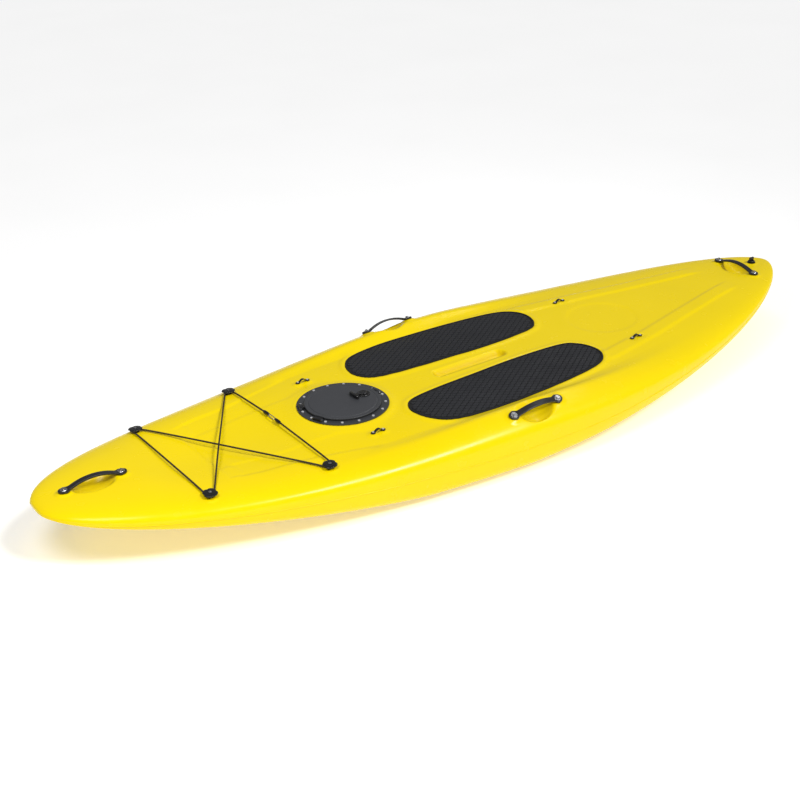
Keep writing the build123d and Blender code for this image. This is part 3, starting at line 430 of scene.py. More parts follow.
# %% Camera, lights and floor
CAMERA_AZIMUTH, CAMERA_ELEVATION, CAMERA_ROLL, CAMERA_DISTANCE = -0.59738, 0.46629, -0.03316, 4.8849
CAMERA_TARGET = Vector((0.25465, -0.01557, 0.1352))
CAMERA_LENS, SENSOR = 61.32, 36.0


def add_lamp(name, kind, **settings):
    """A lamp; settings are its data's own properties, such as energy and size."""
    data = bpy.data.lights.new(name, kind)
    for key, value in settings.items():
        setattr(data, key, value)
    return add_object(name, data)


camera_data = bpy.data.cameras.new("camera")
camera_data.lens, camera_data.sensor_width = CAMERA_LENS, SENSOR
camera = add_object("camera", camera_data)
aim = (Matrix.Rotation(CAMERA_AZIMUTH + np.pi, 3, "Z") @ Matrix.Rotation(np.pi / 2 - CAMERA_ELEVATION, 3, "X")
       @ Matrix.Rotation(CAMERA_ROLL, 3, "Z"))
camera.matrix_world = Matrix.Translation(CAMERA_TARGET + aim.col[2] * CAMERA_DISTANCE) @ aim.to_4x4()
bpy.context.scene.camera = camera

SUN_STRENGTH, SUN_SPREAD, SUN_FROM = 1.95, 0.22, (-0.35, 0.72, 0.85)
STRIP_LENGTH, STRIP_WIDTH, STRIP_POWER, STRIP_PLACE = 3.6, 0.22, 9, (-1.4, 0.15, 2.0)
BOW_LAMP_SIZE, BOW_LAMP_POWER, BOW_LAMP_PLACE, BOW_LAMP_AIM = 1.4, 38, (2.3, 0.9, 2.7), (1.2, 0.0, 0.2)
SURROUND = 0.24
sun = add_lamp("overhead", "SUN", energy=SUN_STRENGTH, angle=SUN_SPREAD)
sun.rotation_euler = Vector(SUN_FROM).to_track_quat("Z", "Y").to_euler()
strip = add_lamp("strip", "AREA", shape="RECTANGLE", size=STRIP_LENGTH, size_y=STRIP_WIDTH,
                 energy=STRIP_POWER)
strip_axis, strip_back = unit((0.24, 1.0, 0.0)), unit((-1.4, 0.1, 1.85))
strip_axes = np.stack([strip_axis, unit(np.cross(strip_back, strip_axis)), strip_back], 1)
strip.matrix_world = Matrix.Translation(STRIP_PLACE) @ Matrix(strip_axes.tolist()).to_4x4()
bow_lamp = add_lamp("bow_soft", "AREA", shape="DISK", size=BOW_LAMP_SIZE, energy=BOW_LAMP_POWER)
bow_lamp.location = BOW_LAMP_PLACE
bow_aim = Vector(BOW_LAMP_AIM) - Vector(BOW_LAMP_PLACE)
bow_lamp.rotation_euler = bow_aim.to_track_quat("-Z", "Y").to_euler()
world = bpy.data.worlds.new("surround")
world.use_nodes = True
background = world.node_tree.nodes["Background"].inputs
background["Color"].default_value, background["Strength"].default_value = (1, 1, 1, 1), SURROUND
bpy.context.scene.world = world
bpy.context.scene.view_settings.view_transform = "Standard"

FLOOR_SIZE = 400.0
floor_edges = np.array([-FLOOR_SIZE, FLOOR_SIZE]) / 2
floor_x, floor_y = np.meshgrid(floor_edges, floor_edges, indexing="ij")
floor = add_surface("floor", np.stack([floor_x, floor_y, 0 * floor_x], -1))
floor_white, floor_tree, floor_shader = start_material("floor_white", (0.93, 0.93, 0.93), 0.8,
                                                        Emission_Strength=0.28, Emission_Color=(1, 1, 1, 1))
tone = ramp(floor_tree, noise(floor_tree, 1.5), (0.92, 0.92, 0.92), (0.94, 0.94, 0.94))
floor_tree.links.new(tone, floor_shader.inputs["Base Color"])
floor.data.materials.append(floor_white)
print("camera at", [round(c, 3) for c in camera.location])

# %% [markdown]
# ## Relief on the deck
# The mould adds shape to the plain skin: oval scoops under the straps, flats for the lugs, a hand hold, a
# shallow pocket and lip round each pad, the cargo well's edge, two flat-topped ridges on the stern deck and a
# faint sunken ring. Each is a smooth function of place, so they add up without seams.

# %% The relief's parts
SCOOP_HALF_LENGTH, SCOOP_HALF_WIDTH, SCOOP_DEPTH = 0.074, 0.051, 0.031
LUG_FLAT, BUTTON_FLAT, EYE_FLAT, SEAT_BLEND, FLAT_DROP = 0.0195, 0.021, 0.0105, 0.006, 0.0004
EYE_SPACING = 0.04
GRIP_X, GRIP_LENGTH, GRIP_WIDTH, GRIP_DEPTH = -0.05, 0.325, 0.05, 0.02
GRIP_LIP_HEIGHT, GRIP_LIP_OUT, GRIP_LIP_REACH = 0.0012, 0.006, 0.01
PAD_OUTLINE = [
    (0.345, 0.2), (0.322, 0.268), (0.262, 0.32), (0.12, 0.344), (-0.1, 0.341), (-0.3, 0.324),
    (-0.42, 0.298), (-0.475, 0.25), (-0.487, 0.19), (-0.462, 0.125), (-0.4, 0.088), (-0.2, 0.076),
    (0.0, 0.084), (0.18, 0.094), (0.29, 0.112), (0.333, 0.148)]
PAD_POCKET_DEPTH, PAD_LIP_HEIGHT, PAD_LIP_OUT, PAD_LIP_REACH = 0.0012, 0.0035, 0.01, 0.016
HATCH_SEAT_RADIUS, HATCH_SEAT_BLEND, HATCH_SEAT_DROP = 0.172, 0.024, 0.0008
HATCH_BEAD_RADIUS, HATCH_BEAD_REACH, HATCH_BEAD_HEIGHT = 0.1685, 0.0085, 0.0024
WELL_BOW_X, WELL_DEPTH, WELL_EDGE, CHANNEL_EDGE, CHANNEL_STOP = 1.062, 0.003, 0.01, 0.009, 0.045
CHANNEL_RISE, GUSSET_RISE = 0.6 * WELL_DEPTH, 0.5 * WELL_DEPTH
GUSSET_ENDS, GUSSET_HALF_WIDTH = ((1.035, 0.15), (1.035, 0.19)), 0.03
WELL_X = (0.45, 0.533, 0.636, 0.827, 0.962, 1.08)
WELL_OUTER = (0.335, 0.327, 0.298, 0.249, 0.234, 0.205)
WELL_INNER = (0.18, 0.176, 0.17, 0.157, 0.135, 0.115)
RIDGE_X = (-1.4, -1.18, -0.96, -0.75, -0.5, -0.3)
RIDGE_Y = (0.085, 0.125, 0.172, 0.22, 0.265, 0.285)
RIDGE_HALF_WIDTH, RIDGE_HEIGHT, RIDGE_EDGE, RIDGE_STERN_X, RIDGE_BOW_X = 0.038, 0.0042, 0.012, -1.34, -0.44
RING_X, RING_RADIUS, RING_DEPTH, RING_EDGE = -0.7, 0.142, 0.0016, 0.01
HATCH_HOLE = 0.137
# Shares of painted shade, an amber darkening, on the walls of the scoops and of the hand hold.
SCOOP_PAINTED_SHADE, GRIP_PAINTED_SHADE = 0.2, 0.42


def closed_curve(points, per_span=12):
    """A smooth closed curve through points: each span is the cubic whose end slopes join its neighbours."""
    p = np.array(points, float)
    before, after, beyond = np.roll(p, 1, 0), np.roll(p, -1, 0), np.roll(p, -2, 0)
    t = np.linspace(0, 1, per_span, endpoint=False)[None, :, None]
    a, b, c, d = before[:, None], p[:, None], after[:, None], beyond[:, None]
    square, cube = 2 * a - 5 * b + 4 * c - d, 3 * b - a - 3 * c + d
    return (0.5 * (2 * b + (c - a) * t + square * t ** 2 + cube * t ** 3)).reshape(-1, 2)


pad_curve = closed_curve(PAD_OUTLINE)


def segment_distance(x, y, start, end):
    """Distance from x, y to a straight segment, or to each of several."""
    dx, dy = end[0] - start[0], end[1] - start[1]
    t = np.clip(((x - start[0]) * dx + (y - start[1]) * dy) / (dx * dx + dy * dy), 0, 1)
    return np.hypot(x - start[0] - t * dx, y - start[1] - t * dy)


def outline_distance(x, y):
    """Distance to a pad's outline, less than 0 inside it, where a ray crosses it an odd number of times."""
    start, end = pad_curve, np.roll(pad_curve, -1, 0)
    ay = np.abs(y)
    near = (x > start[:, 0].min() - 0.05) & (x < start[:, 0].max() + 0.05) & (ay < 0.4)
    px, py = x[near][:, None], ay[near][:, None]
    gap = segment_distance(px, py, start.T, end.T).min(1)
    step = end - start
    spans = (start[:, 1] > py) != (end[:, 1] > py)
    crossing = start[:, 0] + (py - start[:, 1]) / np.where(step[:, 1] == 0, 1, step[:, 1]) * step[:, 0]
    inside = (spans & (px < crossing)).sum(1) % 2 == 1
    far = 1.0
    out = np.full(x.shape, far)
    out[near] = np.where(inside, -gap, gap)
    return out


def ridge(distance, reach):
    """A soft bead: 1 on the line, 0 beyond its reach."""
    return np.clip(1 - (distance / reach) ** 2, 0, 1) ** 2


def scoops(x, y, z, grow=0.0):
    """An oval bowl under each strap: 1 - r^2.2 of its depth, with r the share of the way out to its rim."""
    total = np.zeros_like(x)
    for seat in handle_seats.values():
        a, b, _ = seat.local(np.stack([x, y, z], -1))
        r = np.hypot(a / (SCOOP_HALF_LENGTH + grow), b / (SCOOP_HALF_WIDTH + grow))
        total -= (SCOOP_DEPTH + grow) * np.clip(1 - r ** 2.2, 0, 1)
    return total


def lug_flats(x, y, z):
    """Lifts the deck to the flat seat of each lug, button, pad eye and of the drain socket."""
    ends = (-0.5, 0.5)
    seats = [(s.shifted(k * HANDLE_SPACING), LUG_FLAT) for s in handle_seats.values() for k in ends]
    seats += [(s, BUTTON_FLAT) for s in button_seats.values()] + [(drain_seat, LUG_FLAT)]
    seats += [(s.shifted(k * EYE_SPACING), EYE_FLAT) for s in eye_seats.values() for k in ends]
    for seat, radius in seats:
        a, b, _ = seat.local(np.stack([x, y, z], -1))
        r = np.hypot(a, b)
        dx, dy = x - seat.origin[0], y - seat.origin[1]
        flat = seat.origin[2] - (dx * seat.normal[0] + dy * seat.normal[1]) / seat.normal[2] - FLAT_DROP
        weight = np.where(np.abs(dx) < 0.06, soft_step((radius + 2 * SEAT_BLEND - r) / (2 * SEAT_BLEND)), 0)
        z = z + (flat - z) * weight
    return z


def hatch_platform(x, y, z):
    """A round raised seat for the hatch, faired into the deck, with a bead round the ring's rim."""
    r = np.hypot(x - HATCH_X, y)
    weight = soft_step((HATCH_SEAT_RADIUS + HATCH_SEAT_BLEND - r) / HATCH_SEAT_BLEND)
    z = z + (hatch_seat.origin[2] - HATCH_SEAT_DROP - z) * weight
    return z + HATCH_BEAD_HEIGHT * ridge(r - HATCH_BEAD_RADIUS, HATCH_BEAD_REACH)


def moulded_lines(x, y):
    """The cargo well's edges on the bow deck, the stern's two flat-topped ridges, and the faint ring."""
    ay = np.abs(y)
    off_hatch = soft_step((np.hypot(x - HATCH_X, y) - 0.185) / 0.03) * soft_step((x - 0.42) / 0.12)
    well = (soft_step((np.interp(x, WELL_X, WELL_OUTER) - ay) / WELL_EDGE)
            * soft_step((WELL_BOW_X - x) / WELL_EDGE))
    channel = (soft_step((np.interp(x, WELL_X, WELL_INNER) - ay) / CHANNEL_EDGE)
               * soft_step((WELL_BOW_X - CHANNEL_STOP - x) / WELL_EDGE))
    gusset = soft_step((GUSSET_HALF_WIDTH - segment_distance(x, ay, *GUSSET_ENDS)) / WELL_EDGE)
    recess = -WELL_DEPTH * well + CHANNEL_RISE * channel + GUSSET_RISE * gusset
    edge = np.abs(ay - np.interp(x, RIDGE_X, RIDGE_Y)) - RIDGE_HALF_WIDTH
    fade = soft_step((RIDGE_BOW_X - x) / 0.05) * soft_step((x - RIDGE_STERN_X) / 0.1)
    ridges = RIDGE_HEIGHT * soft_step(-edge / RIDGE_EDGE) * fade
    ring = -RING_DEPTH * soft_step((RING_RADIUS - np.hypot(x - RING_X, y)) / RING_EDGE)
    return recess * off_hatch + ridges + ring


def grip_hold(x, y, grow=0.0):
    """The long hand hold: a slot of depth 1 - (2d/w)^2.4, d from its middle line, with a low lip."""
    straight = (GRIP_LENGTH - GRIP_WIDTH) / 2
    d = segment_distance(x, y, (GRIP_X - straight, 0), (GRIP_X + straight, 0))
    depth = (GRIP_DEPTH + grow) * np.clip(1 - (d / (GRIP_WIDTH / 2 + grow)) ** 2.4, 0, 1)
    return -depth + GRIP_LIP_HEIGHT * ridge(d - GRIP_WIDTH / 2 - GRIP_LIP_OUT, GRIP_LIP_REACH)


def pad_pockets(x, y):
    """The deck under a pad lies a little lower, and a soft lip runs round it."""
    away = outline_distance(x, y)
    return (PAD_LIP_HEIGHT * ridge(away - PAD_LIP_OUT, PAD_LIP_REACH)
            - PAD_POCKET_DEPTH * soft_step((0.002 - away) / 0.004))


def painted_shade_share(x, y):
    """The share of painted shade in the hull's colour, towards amber: most on the walls of the scoops and the
    hand hold.
    """
    plain = deck_height(x, y)
    scoop = -scoops(x, y, plain) / SCOOP_DEPTH
    wall = soft_step(scoop / 0.25) * (1 - 0.6 * soft_step((scoop - 0.5) / 0.5))
    grip = np.clip(-grip_hold(x, y) / GRIP_DEPTH, 0, 1)
    slot_wall = soft_step(grip / 0.3) * (1 - 0.5 * soft_step((grip - 0.7) / 0.3))
    return np.clip(SCOOP_PAINTED_SHADE * wall + GRIP_PAINTED_SHADE * slot_wall, 0, 1)


def relief_height(x, y):
    """The deck with all its relief."""
    plain = deck_height(x, y)
    z = plain + pad_pockets(x, y) + moulded_lines(x, y) + grip_hold(x, y)
    z = hatch_platform(x, y, z)
    z = lug_flats(x, y, z)
    return z + scoops(x, y, plain)


# %% [markdown]
# ## The hull's skin
# One closed grid runs round each section, over the deck from rail to rail and back under the bottom. The
# stations crowd towards the tips, where the plan turns fastest. The faces under the hatch's flange are left
# out, so the way into the hull is open, and a second, plainer skin inside it is the wall's inner face. It
# dips under the scoops and the hand hold. A thin bead along the rails is the mould's parting line.

# %% The skin
DECK_COLUMNS, BOTTOM_COLUMNS, HULL_ROWS = 150, 34, 500
TIP_ROWS_SHARE = 0.3
LINING_ROWS, LINING_DECK, LINING_BOTTOM, LINING_MARGIN = 320, 90, 30, 0.012
LINING_FROM, LINING_TO = -0.95, 0.92


def stations(count):
    """Places along the hull: mostly even, with a share of cosine spacing to crowd the tips."""
    t = np.linspace(-1, 1, count)
    return LENGTH / 2 * ((1 - TIP_ROWS_SHARE) * t + TIP_ROWS_SHARE * np.sin(t * np.pi / 2))


def section_places(power, count):
    """Shares of the half width from rail to rail, closer near the rails where a section turns down."""
    t = np.linspace(-1, 1, count)
    even = np.sin(t * np.pi / 2)
    steep = np.sign(t) * np.abs(np.sin(t * np.pi / 2)) ** (2 / power)
    return 0.55 * even + 0.45 * np.where(np.abs(t) > 0.5, steep, even)


def hull_grid(rows, deck_columns, bottom_columns, inset, first=-1.0, last=1.0, relief=True):
    """Rows of closed sections: the deck from starboard to port, then the bottom back to starboard."""
    x = np.clip(stations(rows), first * LENGTH / 2, last * LENGTH / 2)[:, None]
    half = half_width(x) - inset
    deck_y = half * section_places(3.4, deck_columns)[None, :]
    bottom_y = half * section_places(4.0, bottom_columns)[None, ::-1][:, 1:-1]
    deck_x, bottom_x = np.broadcast_to(x, deck_y.shape), np.broadcast_to(x, bottom_y.shape)
    if relief:
        deck_z = relief_height(deck_x, deck_y)
    else:
        plain = deck_height(deck_x, deck_y, inset)
        deck_z = (plain + scoops(deck_x, deck_y, plain, LINING_MARGIN)
                  + grip_hold(deck_x, deck_y, LINING_MARGIN))
    deck = np.stack([deck_x, deck_y, deck_z], -1)
    bottom = np.stack([bottom_x, bottom_y, bottom_height(bottom_x, bottom_y, inset)], -1)
    return np.concatenate([deck, bottom], 1)


def with_tips(grid):
    """Closes both ends with a point in the middle of the end section."""
    first, last = (np.broadcast_to(row.mean(1, keepdims=True), row.shape) for row in (grid[:1], grid[-1:]))
    return np.concatenate([first, grid, last])


def hole_mask(grid, deck_columns):
    """Quads to keep: all but those of the deck whose middle lies inside the hatch's hole."""
    closed = np.concatenate([grid, grid[:, :1]], 1)
    middle = (closed[:-1, :-1] + closed[1:, :-1] + closed[1:, 1:] + closed[:-1, 1:]) / 4
    keep = np.hypot(middle[..., 0] - HATCH_X, middle[..., 1]) > HATCH_HOLE
    keep[:, deck_columns:] = True
    return keep


outer = with_tips(hull_grid(HULL_ROWS, DECK_COLUMNS, BOTTOM_COLUMNS, 0.0))
hull_skin = add_surface("hull_skin", outer, close_v=True, keep=hole_mask(outer, DECK_COLUMNS), sharp=60)
skin_points = np.empty(len(hull_skin.data.vertices) * 3, np.float32)
hull_skin.data.vertices.foreach_get("co", skin_points)
skin_x, skin_y, skin_z = skin_points.reshape(-1, 3).T
# Painted shade: each deck point above the rails gets its share of amber darkening, stored as an attribute.
painted_shade_values = painted_shade_share(skin_x, skin_y) * (skin_z > rail_height(skin_x))
painted_shade = hull_skin.data.attributes.new("painted_shade", "FLOAT", "POINT")
painted_shade.data.foreach_set("value", painted_shade_values.astype(np.float32))
hull_looks = ("hull", "hull_plastic", hull_yellow)
place(hull_skin, *hull_looks, "hull")
print("hull skin triangles", len(hull_skin.data.polygons) * 2)

# %% The parting line
PARTING_RADIUS, PARTING_STEPS, PARTING_SIDES = 0.0016, 700, 10
x_port = stations(PARTING_STEPS)[1:-1]
half = half_width(x_port)
run = np.concatenate([np.stack([x_port, half, rail_height(x_port)], -1),
                      np.stack([x_port, -half, rail_height(x_port)], -1)[::-1]])
heading = np.roll(run, -1, 0) - np.roll(run, 1, 0)
upwards = np.array([0, 0, 1.0])
sideways = np.cross(heading, upwards)
sideways /= np.linalg.norm(sideways, axis=1)[:, None]
turn = round_steps(PARTING_SIDES)[None, :, None]
bead = run[:, None] + PARTING_RADIUS * (np.cos(turn) * sideways[:, None] + np.sin(turn) * upwards)
bead[..., 0] = np.clip(bead[..., 0], -LENGTH / 2, LENGTH / 2)
add_piece("parting_line", bead, hull_looks, close_u=True, close_v=True)

# %% The inner face of the wall
inner = hull_grid(LINING_ROWS, LINING_DECK, LINING_BOTTOM, WALL, LINING_FROM, LINING_TO, relief=False)
# Rows beyond the lining's ends were drawn back onto them, so only one of each is kept.
inner = with_tips(inner[[i for i in range(len(inner)) if i == 0 or inner[i, 0, 0] > inner[i - 1, 0, 0]]])
hull_lining = add_piece("hull_lining", inner, hull_looks, close_v=True, keep=hole_mask(inner, LINING_DECK))
hull_lining.data.flip_normals()
print("lining triangles", len(hull_lining.data.polygons) * 2)

# %% [markdown]
# ## The hatch
# The ring stays as the CAD made it, with its collar, knuckle and latch ears. The lid is turned from a
# profile: a flat plate with a rounded rim, a shallow groove and a low crown, and two hinge arms.

# %% Lid
LID_RADIUS, LID_LOW, LID_UNDER, LID_TOP, LID_CROWN = 0.134, 0.0071, 0.0086, 0.012, 0.0012
lid_looks = ("lid", "lid_plastic", lid_slate)
lid_profile = rounded([(0, LID_UNDER), (0.1273, LID_UNDER), (0.1273, LID_LOW), (LID_RADIUS, LID_LOW),
                       (LID_RADIUS, LID_TOP), (0.1225, LID_TOP), (0.1205, LID_TOP - 0.0012),
                       (0.1185, LID_TOP), (0.117, LID_TOP + LID_CROWN), (0, LID_TOP + LID_CROWN)], 0.0014)
add_piece("hatch_lid_plate", turned(hatch_seat, lid_profile, 160), lid_looks, "hatch_lid",
          close_u=True, sharp=40)

HINGE_REACH, HINGE_HEIGHT, HINGE_ARM_REACH, HINGE_ARM_Y = 0.141, 0.01, 0.1295, 0.014
KNUCKLE_BORE, KNUCKLE_RADIUS, KNUCKLE_HALF_LENGTH = 0.0026, 0.0055, 0.006
ARM_LENGTH, ARM_WIDTH, ARM_HEIGHT = 0.017, 0.0118, 0.0034


def rounded_bar(seat, length, width, height, radius=0.0012, steps=20, low=0.0):
    """A bar lying on a seat: a rounded rectangular section carried along it, drawn in at both ends."""
    ends_in = np.array([1, 0.3, 0, 0, 0.3, 1]) * radius
    ends_at = np.array([0, 0.3, 1]) * radius
    along = np.concatenate([ends_at - length / 2, length / 2 - ends_at[::-1]])
    share_b, share_c = squarish(round_steps(steps) + np.pi / steps, 6)
    b = (width / 2 - ends_in)[:, None] * share_b
    c = low + height / 2 + (height / 2 - ends_in)[:, None] * share_c
    grid = seat.at(np.broadcast_to(along[:, None], b.shape), b, c)
    tips = [np.broadcast_to(g.mean(0), g.shape)[None] for g in (grid[0], grid[-1])]
    return np.concatenate([tips[0], grid, tips[1]])


barrel = rounded([(KNUCKLE_BORE, -KNUCKLE_HALF_LENGTH), (KNUCKLE_RADIUS, -KNUCKLE_HALF_LENGTH),
                  (KNUCKLE_RADIUS, KNUCKLE_HALF_LENGTH), (KNUCKLE_BORE, KNUCKLE_HALF_LENGTH),
                  (KNUCKLE_BORE, -KNUCKLE_HALF_LENGTH)], 0.0008)
for side, word in ((-1, "starboard"), (1, "port")):
    middle = side * HINGE_ARM_Y
    knuckle = Seat(hatch_seat.at(-HINGE_REACH, middle, HINGE_HEIGHT), (0, 0, 1), (0, 1, 0))
    add_piece("lid_knuckle_" + word, turned(knuckle, barrel, 32), lid_looks, close_u=True, sharp=40)
    arm_seat = Seat(hatch_seat.at(-HINGE_ARM_REACH, middle, LID_UNDER))
    arm = rounded_bar(arm_seat, ARM_LENGTH, ARM_WIDTH, ARM_HEIGHT)
    add_piece("lid_arm_" + word, arm, lid_looks, close_v=True, sharp=50)

# %% Latches
LATCH_REACH, LATCH_HEIGHT, LATCH_HALF_WIDTH, LATCH_BEARING = 0.15, 0.009, 0.0152, np.radians(22.5)
latch_profile = rounded([(-0.0155, -0.0008), (-0.004, -0.0008), (-0.0012, -0.0042), (0.003, -0.0032),
                         (0.0042, 0.0005), (0.003, 0.0034), (-0.004, 0.0042), (-0.0098, 0.004),
                         (-0.0108, 0.0068), (-0.0128, 0.007), (-0.0155, 0.0055), (-0.0156, 0.002),
                         (-0.0155, -0.0008)], 0.0008, 3)


def carried_profile(seat, profile, half_width, edge=0.0008):
    """A closed profile in the seat's along and normal, carried across it and drawn in at both ends."""
    profile = np.array(profile[:-1])
    middle = profile.mean(0)
    ends_at = half_width - np.array([0, 0, edge])
    across = np.concatenate([-ends_at, ends_at[::-1]])
    drawn = 1 - 2 * edge / 0.01
    scale = np.array([0, drawn, 1, 1, drawn, 0])
    shape = middle + (profile - middle)[None] * scale[:, None, None]
    return seat.at(shape[..., 0], np.broadcast_to(across[:, None], shape.shape[:2]), shape[..., 1])


for word, angle in (("port", LATCH_BEARING), ("starboard", -LATCH_BEARING)):
    out_x, out_y = np.cos(angle), np.sin(angle)
    hinge = Seat(hatch_seat.at(out_x * LATCH_REACH, out_y * LATCH_REACH, LATCH_HEIGHT), (out_x, out_y, 0))
    latch = carried_profile(hinge, latch_profile, LATCH_HALF_WIDTH)
    add_piece("latch_lever_" + word, latch, nylon("latch_" + word), "hatch_latch_" + word,
              close_v=True, sharp=35)

# %% Lid lock
LOCK_REACH = 0.085
LEVER_ARM_AT, LEVER_BAR_AT = 0.022, 0.037
LEVER_ARM = {"length": 0.03, "width": 0.0125, "height": 0.0044, "low": 0.0042}
LEVER_BAR = {"length": 0.05, "width": 0.01, "height": 0.0118, "low": 0.0006, "radius": 0.0022, "steps": 24}
lock_seat = Seat(hatch_seat.at(-LOCK_REACH, 0.0, LID_TOP + LID_CROWN))
base_profile = rounded([(0.0051, 0.0), (0.024, 0.0), (0.024, 0.0022), (0.0225, 0.0034), (0.0205, 0.0034),
                        (0.0198, 0.0022), (0.0175, 0.0022), (0.0168, 0.0036), (0.0051, 0.0036),
                        (0.0051, 0.0)], 0.0005)
add_piece("lock_base", turned(lock_seat, base_profile, 72), nylon("lid"),
          "lid_lock_base", close_u=True, sharp=40)
hub_profile = rounded([(0, -0.0093), (0.005, -0.0093), (0.005, 0.0041), (0.015, 0.0041), (0.015, 0.0078),
                       (0.013, 0.0092), (0.007, 0.0094), (0.006, 0.0084), (0, 0.0084)], 0.001)
add_piece("lock_hub", turned(lock_seat, hub_profile, 56), nylon("lid_lock"), "lid_lock_lever",
          close_u=True, sharp=40)
add_piece("lock_arm", rounded_bar(lock_seat.shifted(LEVER_ARM_AT), **LEVER_ARM), nylon("lid_lock"),
          close_v=True, sharp=50)
bar_seat = Seat(lock_seat.at(LEVER_BAR_AT, 0.0, 0.0), (0, 1, 0))
add_piece("lock_bar", rounded_bar(bar_seat, **LEVER_BAR), nylon("lid_lock"), close_v=True, sharp=50)

# %% [markdown]
# ## The deck pads
# EVA foam pads are cut from sheet and grooved with a diamond pattern for grip. The pad is a low base with a
# rounded edge, and the diamonds are raised tiles on it, worked out as one array, because a groove that is
# only painted on looks flat at a low angle. Tiles that reach past the border are cut back to it.

# %% Pads
PAD_BASE, PAD_TOP = 0.0024, 0.0051
TILE_LONG, TILE_WIDE, TILE_GAP, TILE_BEVEL = 0.034, 0.0235, 0.0046, 0.0008
TILE_TOP_SHARE, LATTICE_REACH, LATTICE_Y = 0.86, 60, 0.21
PAD_BORDER, PAD_SINK = 0.0085, 0.0004


def pad_base_grid(side):
    """Rings inset from the outline: up its rounded edge, over a narrow border, in to the middle, and back."""
    inset = np.array([0.003, 0.0006, 0.0, 0.0, 0.0004, 0.0014, 0.003, 0.0062, 0.0072])
    lift = np.array([0.0004, 0.0004, 0.001, 0.003, 0.0042, 0.0048, PAD_TOP, PAD_TOP, PAD_BASE])
    tangent = np.roll(pad_curve, -1, 0) - np.roll(pad_curve, 1, 0)
    inward = np.stack([-tangent[:, 1], tangent[:, 0]], -1) / np.linalg.norm(tangent, axis=1)[:, None]
    middle = pad_curve.mean(0)
    inward *= np.sign(((middle - pad_curve) * inward).sum(1))[:, None]
    rings = pad_curve[None] + inset[:, None, None] * inward[None]
    share = np.array([0.8, 0.6, 0.4, 0.2, 0.0])[:, None, None]
    top = middle + (rings[-1] - middle) * share
    under = middle + (rings[0] - middle) * share[::-1]
    flat = np.concatenate([under, rings, top])
    rise = np.concatenate([np.full(len(share), PAD_SINK), lift, np.full(len(share), PAD_BASE)])
    x, y = flat[..., 0], side * flat[..., 1]
    return np.stack([x, y, deck_height(x, y) + rise[:, None]], -1)


def diamond_tiles(side):
    """Frustums on a diamond lattice, twelve points each; a corner past the border is drawn back to it."""
    steps = np.arange(-LATTICE_REACH, LATTICE_REACH + 1)
    i, j = np.meshgrid(steps, steps, indexing="ij")
    cx = pad_curve[:, 0].mean() + (i + j) * TILE_LONG / 2
    cy = side * (LATTICE_Y + (i - j) * TILE_WIDE / 2)
    middle_gap = outline_distance(cx, cy) + PAD_BORDER
    kept = middle_gap < -TILE_GAP
    cx, cy, middle_gap = cx[kept], cy[kept], middle_gap[kept][:, None]
    corner_x = cx[:, None] + np.array([1, 0, -1, 0]) * TILE_LONG / 2
    corner_y = cy[:, None] + np.array([0, 1, 0, -1]) * TILE_WIDE / 2
    corner_gap = outline_distance(corner_x, corner_y) + PAD_BORDER
    cut = np.where(corner_gap > 0, middle_gap / (middle_gap - corner_gap), 1)
    groove = 1 - TILE_GAP / (TILE_LONG * TILE_WIDE / np.hypot(TILE_LONG, TILE_WIDE))
    foot, shoulder = (groove, PAD_BASE - PAD_SINK), (groove, PAD_TOP - TILE_BEVEL)
    rings = []
    for scale, lift in (foot, shoulder, (groove * TILE_TOP_SHARE, PAD_TOP)):
        reach = np.minimum(cut, 1) * scale
        x = cx[:, None] + (corner_x - cx[:, None]) * reach
        y = cy[:, None] + (corner_y - cy[:, None]) * reach
        rings.append(np.stack([x, y, deck_height(x, y) + lift], -1))
    points = np.concatenate(rings, 1)
    walls = [[k, (k + 1) % 4, 4 + (k + 1) % 4, 4 + k] for k in range(4)]
    bevels = [[4 + k, 4 + (k + 1) % 4, 8 + (k + 1) % 4, 8 + k] for k in range(4)]
    faces = np.array(walls + bevels + [[8, 9, 10, 11], [3, 2, 1, 0]])
    quads = faces[None] + 12 * np.arange(len(points))[:, None, None]
    return points.reshape(-1, 3), quads.reshape(-1, 4)


for side, word in ((1, "port"), (-1, "starboard")):
    base_looks = ("hull", "deck_foam", foam_base)
    base = add_piece("pad_base_" + word, pad_base_grid(side), base_looks, "pad_" + word,
                     close_v=True, sharp=60)
    tiles = finish_mesh("pad_tiles_" + word, *diamond_tiles(side), sharp=20, merge=1e-7)
    place(tiles, "hull", "deck_foam", foam_top)
    print(word, "pad tiles", len(tiles.data.polygons) // 10)

# %% [markdown]
# ## Straps and pad eyes
# A strap handle is moulded rubber: a flat band that rises in an arch from two round lugs. One function makes
# it, with its width, thickness and height as functions of the way along. The pad eyes are smaller, in nylon.

# %% Straps
STRAP_WIDTH, STRAP_THICKNESS, STRAP_HEIGHT = 0.0215, 0.0078, 0.0268
EYE_LUG_RADIUS, EYE_WIDTH, EYE_THICKNESS, EYE_HEIGHT = 0.0085, 0.0095, 0.004, 0.0134


